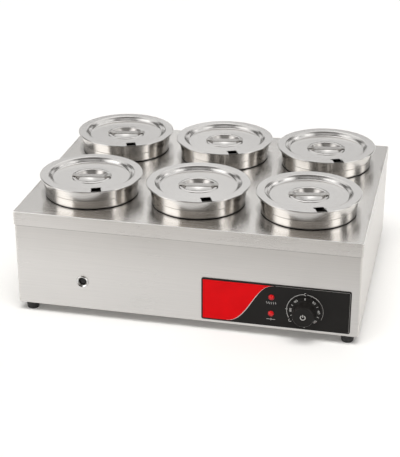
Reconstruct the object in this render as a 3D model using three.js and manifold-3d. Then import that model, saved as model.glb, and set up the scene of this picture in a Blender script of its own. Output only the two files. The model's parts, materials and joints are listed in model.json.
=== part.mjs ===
// Bain marie: a counter-top water bath that keeps six round pots hot under notched lids.
// Millimetres. X runs along the front, Y towards the back, Z up, with the worktop at Z = 0.

import * as THREE from "three";
import { mergeVertices } from "three/addons/utils/BufferGeometryUtils.js";
import Module from "manifold-3d";

const wasm = await Module();
wasm.setup();

// Sheet metal, gaps and cutting
const sheet = 1; // thickness of the deck, casing and tank steel
const seatGap = 0.3; // left between two pieces that touch
const overrun = 3; // how far a cutting shape passes the piece
const bendSteps = 2; // half the flats in each rounded corner
const roundSides = 32; // flats round a pot, a lid or a deck hole
const smallSides = 12; // flats round a fitting
const screwSides = 8;
const wireSides = 6;
const tubeBendSteps = 3;

// Deck
const deckWidth = 680;
const deckDepth = 515;
const deckHeight = 215.5; // top face above the worktop
const deckCorner = 4;
const apronDrop = 28;

// Pots: sizes up and down are measured from the deck's top face
const potWall = 1;
const potBodyRadius = 88;
const potHoleClearance = 1.5;
const potSideSpace = 3; // least room between a pot's hole and the tank's wall
const potFloorSpace = 24.5; // between the pots and the tank's floor
const potBottomBend = 7;
const potLedge = 4.6; // the collar's overhang that rests on the deck
const potLowerBand = 17.5;
const potLowerFlare = 0.4;
const potCrease = 1.5;
const potUpperFlare = 1.5;
const potHeight = 40; // rim above the deck
const potRimWidth = 3.5;
const potRimThickness = 1.2;

// Lids: sizes down are measured from the top of the rim
const lidSheet = 0.8;
const lidOverhang = 3.1; // past the pot's rim
const lidSpaceX = 13.3; // between neighbouring lids in a row
const lidSpaceY = 49.7; // between the rows
const lidLip = 2.5; // turned-down edge
const lidAnnulus = 17.9; // flat ring inside the edge
const lidStep = 8; // drop from the ring to the middle
const lidStepRun = 7.7;
const dishBeadRadius = 40;
const dishBeadWidth = 8;
const dishBeadHeight = 1.2;
const dishWallRun = 5;
const dishWallDrop = 8;
const dishDepth = 11;
const dishFlatRadius = 20;
const notchWidth = 20;
const notchDepth = 42;
const notchAngle = 22; // degrees from the front, towards the right
const strapWidth = 15;
const strapThickness = 1.8;
const strapOverlap = 6.5; // of each end on the dish's bead
const strapRise = 1;
const strapRampRun = 6;
const strapAngle = 10; // degrees from the front edge's direction

// Casing
const footHeight = 19;
const casingCorner = 5;
const bottomFlange = 40;
const rearFlange = 14;
const rearBottomClearance = 1;

// Tank
const tankSideSpace = 25.7; // casing's face to the tank's wall
const tankFrontSpace = 34.25;
const tankUnderSpace = 46.7; // base plate to the tank
const tankCorner = 40;
const tankFlange = 10;

// Heating element
const elementRadius = 4;
const elementAboveFloor = 14; // to the tube's centre
const elementInsetX = 42; // from the tank's wall
const elementInsetY = 52;
const elementBend = 34;
const elementLegInset = 252; // tank's right wall to the first leg
const elementLegSpacing = 42;
const elementTail = 14; // past the tank's wall
const glandNutRadius = 9;
const glandNutThickness = 6;

// Control fascia and lights
const fasciaInset = 16; // from the casing's right side
const fasciaAboveBase = 6;
const fasciaWidth = 288;
const fasciaHeight = 89;
const fasciaThickness = 1.5;
const fasciaCorner = 4;
const lightFromDial = 64.7; // left of the dial's centre
const lightTopRise = 62.2; // above the fascia's lower edge
const lightLowRise = 27.4;
const lensRadius = 6;
const lensProud = 4;
const lensEdge = 1.2;
const lampRadius = 4.8;
const lampLength = 18;

// Thermostat and knob
const dialInset = 87; // from the fascia's right end
const dialRise = 39.6; // above the fascia's lower edge
const shaftRadius = 3;
const shaftClearance = 2; // in the fascia and the casing
const shaftGrip = 15; // inside the knob
const knobProud = 27.5; // from the fascia
const knobGap = 0.8;
const skirtRadius = 30;
const skirtThickness = 3;
const gripBackRadius = 22.5;
const gripFrontRadius = 20.7;
const gripEdge = 1.5;
const thermostatWidth = 38;
const thermostatHeight = 34;
const thermostatDepth = 20;
const tabWidth = 6.3;
const tabThickness = 1;
const tabLength = 6;
const tabSpacing = 16;
const bulbRadius = 3;
const bulbLength = 80;
const bulbAboveDial = 38;
const bulbRightOfDial = -30; // the bulb's near end
const capillaryRadius = 1;
const capillaryBend = 6;
const bulbClipWidth = 12;
const bulbClipFoot = 8;

// Drain
const drainInset = 134.3; // from the casing's left side
const drainAboveFloor = 8.5; // over the tank's floor
const drainFlangeRadius = 12.5;
const drainFlangeProud = 2.5;
const drainFlangeEdge = 1;
const drainMouthRadius = 8.75;
const drainMouthDepth = 6;
const drainBore = 6.5;
const spigotWall = 3;
const spigotLength = 20;
const pipeWall = 1;
const pipeSocketDepth = 7;
const pipeStub = 1.5; // inside the tank
const drainNutThickness = 5;
const drainNutRim = 5;
const plugLength = 12;
const plugTaper = 0.4;

// Feet
const footInsetX = 22.1; // casing's side to the foot's centre
const footInsetY = 20.2;
const footTopRadius = 12.8;
const footBottomRadius = 11.6;
const footRecessRadius = 5;
const footRecessDepth = 6;
const footScrewRadius = 2.2;
const footScrewHeadRadius = 4.2;
const footScrewHeadHeight = 2.6;
const footScrewLength = 18; // under the head
const screwClearance = 0.4;

// Back and base
const backScrewRadius = 1.8;
const backScrewHeadRadius = 3.8;
const backScrewHeadHeight = 2.2;
const backScrewLength = 8;
const backScrewInset = 8;
const backScrewDrop = 15.5; // upper screws below the apron
const backScrewRise = 23; // lower screws above the base
const cableGlandInset = 88.7; // from the casing's right side
const cableGlandRise = 43; // above the base
const cableGlandRadius = 12;
const cableGlandFlat = 10;
const cableDomeRadius = 9.5;
const cableThreadRadius = 9.8;
const cableBore = 5;
const cableGlandProud = 26;
const cableThreadLength = 9; // inside the rear panel
const cableNutThickness = 4.5;
const cableNutRadius = 13;
const earthStudSpacing = 45; // from the cable gland
const earthStudRise = 29; // above the base
const earthStudRadius = 2.5;
const earthStudLength = 14;
const earthStudHeadRadius = 5;
const earthStudHeadHeight = 3.5;
const ventColumns = 6;
const ventRows = 2;
const ventLength = 46;
const ventWidth = 5;
const ventPitchX = 80;
const ventPitchY = 70;

// Wiring and cut-out
const blockLength = 44;
const blockDepth = 22;
const blockHeight = 18;
const blockInset = 60.2; // from the casing's back
const blockWayPitch = 14;
const blockScrewRadius = 2.5;
const blockScrewDepth = 8;
const blockWays = 3;
const cutoutFromDial = 115.7; // left of the dial's centre
const cutoutInset = 70.95; // behind the tank's front wall
const cutoutTabSpacing = 10;
const cutoutRadius = 12;
const cutoutHeight = 11;
const leadRadius = 1.6;
const supplyRadius = 3.2;
const leadBend = 6;
const leadEndRun = 20; // straight out of the terminal block

// Places worked out from the sizes above
const casingHalfX = deckWidth / 2 - sheet - seatGap;
const casingHalfY = deckDepth / 2 - sheet - seatGap;
const casingTop = deckHeight - sheet - seatGap;
const basePlateBottom = footHeight + sheet + seatGap;
const basePlateTop = basePlateBottom + sheet;
const tankHalfX = casingHalfX - tankSideSpace - sheet;
const tankHalfY = casingHalfY - tankFrontSpace - sheet;
const tankFloor = basePlateTop + tankUnderSpace + sheet; // top face of the floor
const tankTop = deckHeight - sheet - seatGap;
const holeRadius = potBodyRadius + potHoleClearance;
const potCollarFlare = potLedge + potLowerFlare + potCrease + potUpperFlare;
const potRimRadius = potBodyRadius + potCollarFlare + potRimWidth;
const potDepth = deckHeight - tankFloor - potFloorSpace; // below the deck
const lidRadius = potRimRadius + lidOverhang;
const [potPitchX, potPitchY] = [2 * lidRadius + lidSpaceX, 2 * lidRadius + lidSpaceY];
const fitting = (half, pitch) => Math.floor((2 * (half - holeRadius - potSideSpace)) / pitch) + 1;
const [potColumns, potRows] = [fitting(tankHalfX, potPitchX), fitting(tankHalfY, potPitchY)];
const fasciaLeft = casingHalfX - fasciaInset - fasciaWidth;
const fasciaBottom = footHeight + fasciaAboveBase;
const dialX = casingHalfX - fasciaInset - dialInset;
const dialZ = fasciaBottom + dialRise;
const lightX = dialX - lightFromDial;
const [lightTopZ, lightLowZ] = [fasciaBottom + lightTopRise, fasciaBottom + lightLowRise];
const [drainX, drainZ] = [drainInset - casingHalfX, tankFloor + drainAboveFloor];
const elementLegX = tankHalfX - elementLegInset;
const backScrewHighZ = deckHeight - apronDrop - backScrewDrop;
const backScrewLowZ = footHeight + backScrewRise;
const [cableGlandX, cableGlandZ] = [casingHalfX - cableGlandInset, footHeight + cableGlandRise];
const [earthStudX, earthStudZ] = [cableGlandX - earthStudSpacing, footHeight + earthStudRise];
const blockY = casingHalfY - blockInset;
const [cutoutX, cutoutY] = [dialX - cutoutFromDial, cutoutInset - tankHalfY];
const fasciaFace = casingHalfY + seatGap + fasciaThickness; // distance in front of the centre
const elementZ = tankFloor + elementAboveFloor;
const frontReach = fasciaFace + knobProud;
const backReach = casingHalfY + cableGlandProud;
const centreShift = (frontReach - backReach) / 2; // puts the origin at the middle of the whole depth

const brushedSteel = { color: 0xcac7c2, roughness: 0.34, metalness: 1 };
const polishedSteel = { color: 0xd6d3cf, roughness: 0.16, metalness: 1 };
const darkSteel = { color: 0x8c8a86, roughness: 0.45, metalness: 1 };
const zincSteel = { color: 0xb9bcc0, roughness: 0.35, metalness: 1 };
const chromed = { color: 0xe2e1df, roughness: 0.08, metalness: 1 };
const brassy = { color: 0xb99a4e, roughness: 0.3, metalness: 1 };
const blackPlastic = { color: 0x1e1c1b, roughness: 0.42, metalness: 0 };
const fasciaBlack = { color: 0x23211f, roughness: 0.25, metalness: 0 };
const lensRed = { color: 0xd01018, roughness: 0.15, metalness: 0 };
const blackRubber = { color: 0x171616, roughness: 0.75, metalness: 0 };
const paleCeramic = { color: 0xe6e0d2, roughness: 0.6, metalness: 0 };
const greyNylon = { color: 0x55585c, roughness: 0.5, metalness: 0 };
const brownSleeve = { color: 0x5a3a26, roughness: 0.5, metalness: 0 };
const blackSleeve = { color: 0x1c1c1e, roughness: 0.5, metalness: 0 };

// Welds a closed geometry's corners and gives the solid that it bounds.
function solidOf(geometry) {
  geometry.deleteAttribute("normal");
  geometry.deleteAttribute("uv");
  const welded = mergeVertices(geometry);
  const corners = welded.index.array;
  const triVerts = [];
  for (let i = 0; i < corners.length; i += 3) {
    const [a, b, c] = [corners[i], corners[i + 1], corners[i + 2]];
    if (a !== b && b !== c && c !== a) triVerts.push(a, b, c);
  }
  return new wasm.Manifold(new wasm.Mesh({
    numProp: 3,
    vertProperties: welded.attributes.position.array,
    triVerts: new Uint32Array(triVerts),
  }));
}

function geometryOf(solid) {
  const { vertProperties, triVerts } = solid.getMesh();
  const geometry = new THREE.BufferGeometry();
  geometry.setAttribute("position", new THREE.BufferAttribute(vertProperties, 3));
  geometry.setIndex(new THREE.BufferAttribute(triVerts, 1));
  return geometry;
}

// A box between two corners.
function block([left, front, bottom], [right, back, top]) {
  const box = new THREE.BoxGeometry(right - left, back - front, top - bottom);
  box.translate((left + right) / 2, (front + back) / 2, (bottom + top) / 2);
  return solidOf(box);
}

// A box between two corners whose upright edges are rounded.
function roundedBlock([left, front, bottom], [right, back, top], radius) {
  const outline = new THREE.Shape();
  outline.moveTo(left + radius, front);
  outline.absarc(right - radius, front + radius, radius, -Math.PI / 2, 0, false);
  outline.absarc(right - radius, back - radius, radius, 0, Math.PI / 2, false);
  outline.absarc(left + radius, back - radius, radius, Math.PI / 2, Math.PI, false);
  outline.absarc(left + radius, front + radius, radius, Math.PI, 1.5 * Math.PI, false);
  const walls = { depth: top - bottom, bevelEnabled: false, curveSegments: bendSteps };
  return solidOf(new THREE.ExtrudeGeometry(outline, walls).translate(0, 0, bottom));
}

// A solid of revolution about Z; the profile's [radius, z] pairs run up its outside and down its inside.
function turned(profile, sides) {
  const points = profile.map(([radius, z]) => new THREE.Vector2(radius, z));
  if (profile[0][0] > 0) points.push(points[0].clone());
  return solidOf(new THREE.LatheGeometry(points, sides).rotateX(Math.PI / 2));
}

function rod(radius, bottom, top, sides = smallSides) {
  return turned([[0, bottom], [radius, bottom], [radius, top], [0, top]], sides);
}

function ring(outer, inner, bottom, top, sides = smallSides) {
  return turned([[inner, bottom], [outer, bottom], [outer, top], [inner, top]], sides);
}

// A path whose steps land on the given points themselves.
class KnotPath extends THREE.Curve {
  constructor(knots) {
    super();
    this.knots = knots;
  }

  getPoint(share, target = new THREE.Vector3()) {
    const at = share * (this.knots.length - 1);
    const i = Math.min(Math.floor(at), this.knots.length - 2);
    return target.copy(this.knots[i]).lerp(this.knots[i + 1], at - i);
  }

  getPointAt(share, target) {
    return this.getPoint(share, target);
  }

  getTangentAt(share, target = new THREE.Vector3()) {
    const last = this.knots.length - 1;
    const i = Math.round(share * last);
    const into = this.knots[Math.max(i, 1)].clone().sub(this.knots[Math.max(i, 1) - 1]).normalize();
    const away = this.knots[Math.min(i, last - 1) + 1].clone().sub(this.knots[Math.min(i, last - 1)]);
    return target.copy(into.add(away.normalize()).normalize());
  }
}

// A tube along straight runs between stops, with rounded bends no longer than half a run.
function bentTube(stops, radius, bend) {
  const points = stops.map((stop) => new THREE.Vector3(...stop));
  const knots = [points[0]];
  for (let i = 1; i < points.length - 1; i += 1) {
    const [before, corner, after] = points.slice(i - 1, i + 2);
    const [into, away] = [corner.distanceTo(before), corner.distanceTo(after)];
    const reach = Math.min(bend, into / 2, away / 2);
    const arc = new THREE.QuadraticBezierCurve3(
      corner.clone().lerp(before, reach / into), corner, corner.clone().lerp(after, reach / away),
    );
    knots.push(...arc.getPoints(tubeBendSteps));
  }
  knots.push(points.at(-1));
  const section = new THREE.Shape();
  for (let i = 0; i < wireSides; i += 1) {
    const turn = (2 * Math.PI * i) / wireSides;
    const at = [radius * Math.cos(turn), radius * Math.sin(turn)];
    if (i === 0) section.moveTo(...at);
    else section.lineTo(...at);
  }
  const along = { steps: knots.length - 1, extrudePath: new KnotPath(knots), bevelEnabled: false };
  return solidOf(new THREE.ExtrudeGeometry(section, along));
}

function piece(name, solid, finish, position = [0, 0, 0], turn = [0, 0, 0]) {
  const mesh = new THREE.Mesh(geometryOf(solid), new THREE.MeshStandardMaterial(finish));
  mesh.name = name;
  mesh.position.set(...position);
  mesh.rotation.set(...turn);
  return mesh;
}

// Places of the pots, front row first and each row from the left.
const stations = [];
for (let row = 0; row < potRows; row += 1) {
  for (let column = 0; column < potColumns; column += 1) {
    const rowName = ["front", "rear"][row] ?? `row_${row}`;
    const columnName = ["left", "middle", "right"][column] ?? `column_${column}`;
    stations.push({
      name: `${rowName}_${columnName}`,
      x: (column - (potColumns - 1) / 2) * potPitchX,
      y: (row - (potRows - 1) / 2) * potPitchY,
    });
  }
}

// Top plate with a turned-down apron and a round hole for each pot.
function deckPanel() {
  const [halfX, halfY] = [deckWidth / 2, deckDepth / 2];
  const skirtBottom = deckHeight - apronDrop;
  let panel = roundedBlock([-halfX, -halfY, skirtBottom], [halfX, halfY, deckHeight], deckCorner);
  const under = roundedBlock(
    [sheet - halfX, sheet - halfY, skirtBottom - overrun],
    [halfX - sheet, halfY - sheet, deckHeight - sheet],
    deckCorner - sheet,
  );
  panel = panel.subtract(under);
  for (const { x, y } of stations) {
    const hole = rod(holeRadius, deckHeight - sheet - overrun, deckHeight + overrun, roundSides);
    panel = panel.subtract(hole.translate([x, y, 0]));
  }
  return panel;
}

// Front and sides in one folded sheet, with flanges turned in at the bottom and at the back.
function casingWrap() {
  const [halfX, halfY] = [casingHalfX, casingHalfY];
  const frontBend = roundedBlock([-halfX, -halfY, footHeight], [halfX, halfY, casingTop], casingCorner);
  const rearHalf = roundedBlock([-halfX, -deckCorner, footHeight], [halfX, halfY, casingTop], deckCorner - sheet);
  const outside = frontBend.add(rearHalf);
  const inside = roundedBlock(
    [sheet - halfX, sheet - halfY, footHeight + sheet],
    [halfX - sheet, halfY - sheet - seatGap - sheet, casingTop + overrun],
    casingCorner - sheet,
  );
  const floorCut = block(
    [bottomFlange - halfX, bottomFlange - halfY, footHeight - overrun],
    [halfX - bottomFlange, halfY + overrun, footHeight + sheet + overrun],
  );
  const backCut = block(
    [rearFlange - halfX, 0, footHeight + sheet],
    [halfX - rearFlange, halfY + overrun, casingTop + overrun],
  );
  const backSeat = block(
    [sheet - halfX, halfY - sheet - seatGap, footHeight - overrun],
    [halfX - sheet, halfY + overrun, casingTop + overrun],
  );
  let wrap = outside.subtract(inside).subtract(floorCut).subtract(backCut).subtract(backSeat);
  const openings = [
    [dialX, dialZ, shaftRadius + shaftClearance],
    [lightX, lightTopZ, lampRadius + seatGap],
    [lightX, lightLowZ, lampRadius + seatGap],
    [drainX, drainZ, drainBore + spigotWall + seatGap],
  ];
  for (const [x, z, radius] of openings) {
    const drill = rod(radius, -sheet - overrun, overrun).rotate([90, 0, 0]);
    wrap = wrap.subtract(drill.translate([x, -halfY, z]));
  }
  for (const [x, y] of footPlaces()) {
    wrap = wrap.subtract(footScrewHole().translate([x, y, 0]));
  }
  for (const [x, z] of backScrewPlaces()) {
    wrap = wrap.subtract(backScrewHole().translate([x, casingHalfY, z]));
  }
  return wrap;
}

function footPlaces() {
  const [x, y] = [casingHalfX - footInsetX, casingHalfY - footInsetY];
  return [[-x, -y], [x, -y], [-x, y], [x, y]];
}

function footScrewHole() {
  const radius = footScrewRadius + screwClearance;
  return rod(radius, footHeight - overrun, basePlateTop + overrun, screwSides);
}

function backScrewPlaces() {
  const x = casingHalfX - backScrewInset;
  return [[-x, backScrewLowZ], [x, backScrewLowZ], [-x, backScrewHighZ], [x, backScrewHighZ]];
}

function backScrewHole() {
  const radius = backScrewRadius + screwClearance;
  return rod(radius, -sheet - seatGap - sheet - overrun, overrun, screwSides).rotate([-90, 0, 0]);
}

// Flat sheet that closes the back, with holes for its screws and the cable gland.
function rearPanel() {
  const halfX = casingHalfX - deckCorner; // stays inside the deck's rounded corners
  let panel = block(
    [-halfX, casingHalfY - sheet, footHeight + rearBottomClearance],
    [halfX, casingHalfY, casingTop],
  );
  for (const [x, z] of backScrewPlaces()) {
    panel = panel.subtract(backScrewHole().translate([x, casingHalfY, z]));
  }
  const through = [
    [cableGlandX, cableGlandZ, cableThreadRadius + seatGap],
    [earthStudX, earthStudZ, earthStudRadius + seatGap],
  ];
  for (const [x, z, radius] of through) {
    const drill = rod(radius, -sheet - overrun, overrun).rotate([-90, 0, 0]);
    panel = panel.subtract(drill.translate([x, casingHalfY, z]));
  }
  return panel;
}

// Flat sheet laid on the casing's bottom flanges, with rows of vent slots.
function basePlate() {
  const [halfX, frontY] = [casingHalfX - sheet - seatGap, casingHalfY - sheet - seatGap];
  const backY = casingHalfY - sheet - seatGap - sheet - seatGap;
  let plate = roundedBlock([-halfX, -frontY, basePlateBottom], [halfX, backY, basePlateTop], casingCorner);
  for (const [x, y] of footPlaces()) plate = plate.subtract(footScrewHole().translate([x, y, 0]));
  for (let row = 0; row < ventRows; row += 1) {
    for (let column = 0; column < ventColumns; column += 1) {
      const x = (column - (ventColumns - 1) / 2) * ventPitchX;
      const y = (row - (ventRows - 1) / 2) * ventPitchY;
      plate = plate.subtract(block(
        [x - ventLength / 2, y - ventWidth / 2, basePlateBottom - overrun],
        [x + ventLength / 2, y + ventWidth / 2, basePlateTop + overrun],
      ));
    }
  }
  return plate;
}

// Deep tray under the deck's holes, with a rim flange and holes for the element and the drain.
function waterTank() {
  const [x, y, corner] = [tankHalfX, tankHalfY, tankCorner];
  const [outX, outY] = [x + sheet, y + sheet];
  const outside = roundedBlock([-outX, -outY, tankFloor - sheet], [outX, outY, tankTop], corner + sheet);
  const flange = roundedBlock(
    [-outX - tankFlange, -outY - tankFlange, tankTop - sheet],
    [outX + tankFlange, outY + tankFlange, tankTop],
    corner + sheet + tankFlange,
  );
  const water = roundedBlock([-x, -y, tankFloor], [x, y, tankTop + overrun], corner);
  let tank = outside.add(flange).subtract(water);
  const openings = [
    [drainX, drainZ, drainBore + pipeWall + seatGap],
    [elementLegX, elementZ, elementRadius + seatGap],
    [elementLegX + elementLegSpacing, elementZ, elementRadius + seatGap],
  ];
  for (const [atX, atZ, radius] of openings) {
    const drill = rod(radius, -sheet - overrun, overrun).rotate([90, 0, 0]);
    tank = tank.subtract(drill.translate([atX, -tankHalfY, atZ]));
  }
  return tank;
}

// One round loop under the pots, whose two legs leave through the tank's front wall.
function heatingElement() {
  const [x, y] = [tankHalfX - elementInsetX, tankHalfY - elementInsetY];
  const tailY = -tankHalfY - sheet - elementTail;
  const rightLeg = elementLegX + elementLegSpacing;
  const stops = [
    [elementLegX, tailY], [elementLegX, -y], [-x, -y], [-x, y], [x, y], [x, -y],
    [rightLeg, -y], [rightLeg, tailY],
  ];
  const route = stops.map(([atX, atY]) => [atX, atY, elementZ]);
  return bentTube(route, elementRadius, elementBend);
}

function hexNut(radius, hole, bottom, top) {
  return rod(radius, bottom, top, 6).subtract(rod(hole, bottom - overrun, top + overrun));
}

// Stepped pot: a narrow body below the deck and a wider collar that rests on it. Z = 0 is the deck's top.
function potShell() {
  const body = potBodyRadius;
  const ledge = body + potLedge;
  const bandTop = ledge + potLowerFlare;
  const upper = bandTop + potCrease;
  const neck = upper + potUpperFlare;
  const wall = potWall;
  const creaseTop = potLowerBand + potCrease;
  const rimUnder = potHeight - potRimThickness;
  return turned([
    [0, -potDepth], [body - potBottomBend, -potDepth], [body, potBottomBend - potDepth],
    [body, seatGap], [ledge, seatGap], [bandTop, potLowerBand], [upper, creaseTop],
    [neck, rimUnder], [neck + potRimWidth, rimUnder], [neck + potRimWidth, potHeight],
    [neck - wall, potHeight], [upper - wall, creaseTop], [bandTop - wall, potLowerBand],
    [ledge - wall, seatGap + wall], [body - wall, seatGap + wall],
    [body - wall, potBottomBend - potDepth], [body - potBottomBend, wall - potDepth],
    [0, wall - potDepth],
  ], roundSides);
}

// Lid with a raised flat ring, a lower middle, a centre dish and a ladle notch. Z = 0 is the ring's top.
function lidShell() {
  const middle = -lidStep;
  const [dishEdge, ringEdge] = [dishBeadRadius - dishBeadWidth, lidRadius - lidAnnulus];
  const upper = [
    [0, middle - dishDepth], [dishFlatRadius, middle - dishDepth],
    [dishEdge - dishWallRun, middle - dishWallDrop], [dishEdge, middle],
    [dishBeadRadius - dishBeadWidth / 2, middle + dishBeadHeight], [dishBeadRadius, middle],
    [ringEdge - lidStepRun, middle], [ringEdge, 0], [lidRadius - lidSheet, 0],
  ];
  const under = upper.filter(([, z]) => z <= middle || z === 0).map(([radius, z]) => [radius, z - lidSheet]);
  const edge = [[lidRadius - lidSheet, -lidLip], [lidRadius, -lidLip], [lidRadius, -lidSheet]];
  const lid = turned([...under, ...edge, ...upper.reverse()], roundSides);
  const notch = block(
    [-notchWidth / 2, -lidRadius - overrun, middle - lidSheet - overrun],
    [notchWidth / 2, notchDepth - lidRadius, overrun],
  );
  return lid.subtract(notch.rotate([0, 0, notchAngle]));
}

// Low arched strap across the lid's dish, its rounded ends on the bead.
function lidStrap() {
  const endX = dishBeadRadius - dishBeadWidth;
  const [tipX, rampX] = [endX + strapOverlap, endX - strapRampRun];
  const low = dishBeadHeight - lidStep + seatGap;
  const underside = [
    [-tipX, low], [-endX, low], [-rampX, low + strapRise],
    [rampX, low + strapRise], [endX, low], [tipX, low],
  ];
  const top = underside.map(([x, z]) => [x, z + strapThickness]).reverse();
  const outline = new THREE.Shape([...underside, ...top].map(([x, z]) => new THREE.Vector2(x, z)));
  const bar = new THREE.ExtrudeGeometry(outline, { depth: strapWidth, bevelEnabled: false });
  bar.translate(0, 0, -strapWidth / 2).rotateX(Math.PI / 2);
  const high = low + strapRise + strapThickness + overrun;
  const tips = turned([[0, low - overrun], [tipX, low - overrun], [tipX, high], [0, high]], roundSides);
  return solidOf(bar).rotate([0, 0, strapAngle]).intersect(tips);
}

// From here the front pieces have Z = 0 at the casing's front face and point out of it.
const fasciaTop = seatGap + fasciaThickness;

function controlFascia() {
  let plate = roundedBlock(
    [fasciaLeft, fasciaBottom, seatGap],
    [fasciaLeft + fasciaWidth, fasciaBottom + fasciaHeight, fasciaTop],
    fasciaCorner,
  );
  const openings = [
    [dialX, dialZ, shaftRadius + shaftClearance],
    [lightX, lightTopZ, lampRadius + seatGap],
    [lightX, lightLowZ, lampRadius + seatGap],
  ];
  for (const [x, z, radius] of openings) {
    plate = plate.subtract(rod(radius, seatGap - overrun, fasciaTop + overrun).translate([x, z, 0]));
  }
  return plate;
}

// Round lens with a lamp body behind it.
function indicatorLight() {
  const seat = fasciaTop + seatGap;
  const dome = [0, 1, 2].map((step) => {
    const rise = (step / 2) * (Math.PI / 2);
    return [lensRadius * Math.cos(rise), seat + lensEdge + (lensProud - lensEdge) * Math.sin(rise)];
  });
  dome[dome.length - 1][0] = 0;
  return turned([
    [0, -sheet - lampLength], [lampRadius, -sheet - lampLength], [lampRadius, seat],
    [lensRadius, seat], ...dome,
  ], smallSides);
}

const knobBack = fasciaTop + knobGap;
const knobFront = fasciaTop + knobProud;

function controlKnob() {
  const bore = shaftRadius + seatGap;
  const boreEnd = knobBack + shaftGrip + seatGap;
  return turned([
    [bore, knobBack], [skirtRadius, knobBack], [skirtRadius, knobBack + skirtThickness],
    [gripBackRadius, knobBack + skirtThickness], [gripFrontRadius, knobFront - gripEdge],
    [gripFrontRadius - gripEdge, knobFront], [0, knobFront], [0, boreEnd], [bore, boreEnd],
  ], roundSides);
}

function thermostatBody() {
  const front = -sheet - seatGap;
  const [halfX, halfZ] = [thermostatWidth / 2, thermostatHeight / 2];
  let body = block([-halfX, -halfZ, front - thermostatDepth], [halfX, halfZ, front]);
  for (const side of [-1, 1]) {
    const [x, z] = [(side * tabSpacing) / 2, front - thermostatDepth / 2];
    body = body.add(block(
      [x - tabWidth / 2, -halfZ - tabLength, z - tabThickness / 2],
      [x + tabWidth / 2, 0, z + tabThickness / 2],
    ));
  }
  return body;
}

const drainFace = seatGap + drainFlangeProud;
const pipeRadius = drainBore + pipeWall;

// Flanged fitting with a funnel mouth, a straight bore and a socket for the pipe behind.
function drainSocket() {
  const [spigot, socket] = [drainBore + spigotWall, pipeRadius + seatGap];
  return turned([
    [socket, -spigotLength], [spigot, -spigotLength], [spigot, seatGap],
    [drainFlangeRadius, seatGap], [drainFlangeRadius, drainFace - drainFlangeEdge],
    [drainFlangeRadius - drainFlangeEdge, drainFace], [drainMouthRadius, drainFace],
    [drainBore, drainFace - drainMouthDepth], [drainBore, pipeSocketDepth - spigotLength],
    [socket, pipeSocketDepth - spigotLength],
  ], smallSides);
}

function drainPlug() {
  const front = drainFace - drainMouthDepth;
  const radius = drainBore - seatGap;
  return turned([
    [0, front - plugLength], [radius - plugTaper, front - plugLength], [radius, front], [0, front],
  ], smallSides);
}

function footBlock() {
  const top = footHeight - seatGap;
  const hole = footScrewRadius + screwClearance;
  return turned([
    [footRecessRadius, 0], [footBottomRadius, 0], [footTopRadius, top], [hole, top],
    [hole, footRecessDepth], [footRecessRadius, footRecessDepth],
  ], smallSides);
}

// A screw whose head lies below Z = 0 and whose shank points up.
function screw(shankRadius, shankLength, headRadius, headHeight) {
  return turned([
    [0, -headHeight], [headRadius, -headHeight], [headRadius, 0], [shankRadius, 0],
    [shankRadius, shankLength], [0, shankLength],
  ], screwSides);
}

// Cable gland with a hexagon, a rounded cap and a thread that passes the rear panel.
function cableGland() {
  const hexagon = rod(cableGlandRadius, seatGap, cableGlandFlat, 6);
  const capStart = cableGlandFlat - overrun;
  const cap = rod(cableDomeRadius, capStart, cableGlandProud);
  const thread = rod(cableThreadRadius, -cableThreadLength, seatGap + overrun);
  const bore = rod(cableBore, -cableThreadLength - overrun, cableGlandProud + overrun);
  return hexagon.add(cap).add(thread).subtract(bore);
}

function earthStud() {
  return turned([
    [0, -earthStudLength / 2], [earthStudRadius, -earthStudLength / 2], [earthStudRadius, seatGap],
    [earthStudHeadRadius, seatGap], [earthStudHeadRadius, seatGap + earthStudHeadHeight],
    [earthStudRadius, seatGap + earthStudHeadHeight], [earthStudRadius, earthStudLength],
    [0, earthStudLength],
  ], smallSides);
}

// Sensing bulb on the tank's front wall and the thin tube from it to the thermostat.
const bulbY = -tankHalfY - sheet - seatGap - bulbRadius;
const bulbZ = dialZ + bulbAboveDial;
const bulbNearX = dialX + bulbRightOfDial;
const thermostatY = sheet + seatGap + thermostatDepth / 2 - casingHalfY;

function capillary() {
  const bulb = rod(bulbRadius, -bulbLength, 0).rotate([0, 90, 0]).translate([bulbNearX, bulbY, bulbZ]);
  const tube = bentTube([
    [bulbNearX - overrun, bulbY, bulbZ], [dialX, bulbY, bulbZ], [dialX, thermostatY, bulbZ],
    [dialX, thermostatY, dialZ + thermostatHeight / 2 + seatGap],
  ], capillaryRadius, capillaryBend);
  return bulb.add(tube);
}

// Hat-shaped strap that holds the bulb on the tank's wall.
function bulbClip() {
  const wallY = -tankHalfY - sheet - seatGap;
  const [x, reach] = [bulbNearX - bulbLength / 2, bulbRadius + seatGap];
  const [left, right] = [x - bulbClipWidth / 2, x + bulbClipWidth / 2];
  const frontY = bulbY - reach - sheet;
  const tall = reach + sheet;
  const feet = block([left, wallY - sheet, bulbZ - tall - bulbClipFoot], [right, wallY, bulbZ + tall + bulbClipFoot]);
  const hat = block([left, frontY, bulbZ - tall], [right, wallY, bulbZ + tall]);
  const channel = block(
    [left - overrun, frontY + sheet, bulbZ - reach],
    [right + overrun, wallY + overrun, bulbZ + reach],
  );
  return feet.add(hat).subtract(channel);
}

const cutoutTop = tankFloor - sheet - seatGap;

function safetyCutout() {
  let can = rod(cutoutRadius, cutoutTop - cutoutHeight, cutoutTop);
  for (const side of [-1, 1]) {
    const x = (side * cutoutTabSpacing) / 2;
    can = can.add(block(
      [x - tabThickness / 2, -tabWidth / 2, cutoutTop - cutoutHeight - tabLength],
      [x + tabThickness / 2, tabWidth / 2, cutoutTop - cutoutHeight / 2],
    ));
  }
  return can;
}

const blockBottom = basePlateTop + seatGap;
const leadZ = blockBottom + blockHeight / 2;
const wayX = (way) => dialX + way * blockWayPitch;

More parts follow.
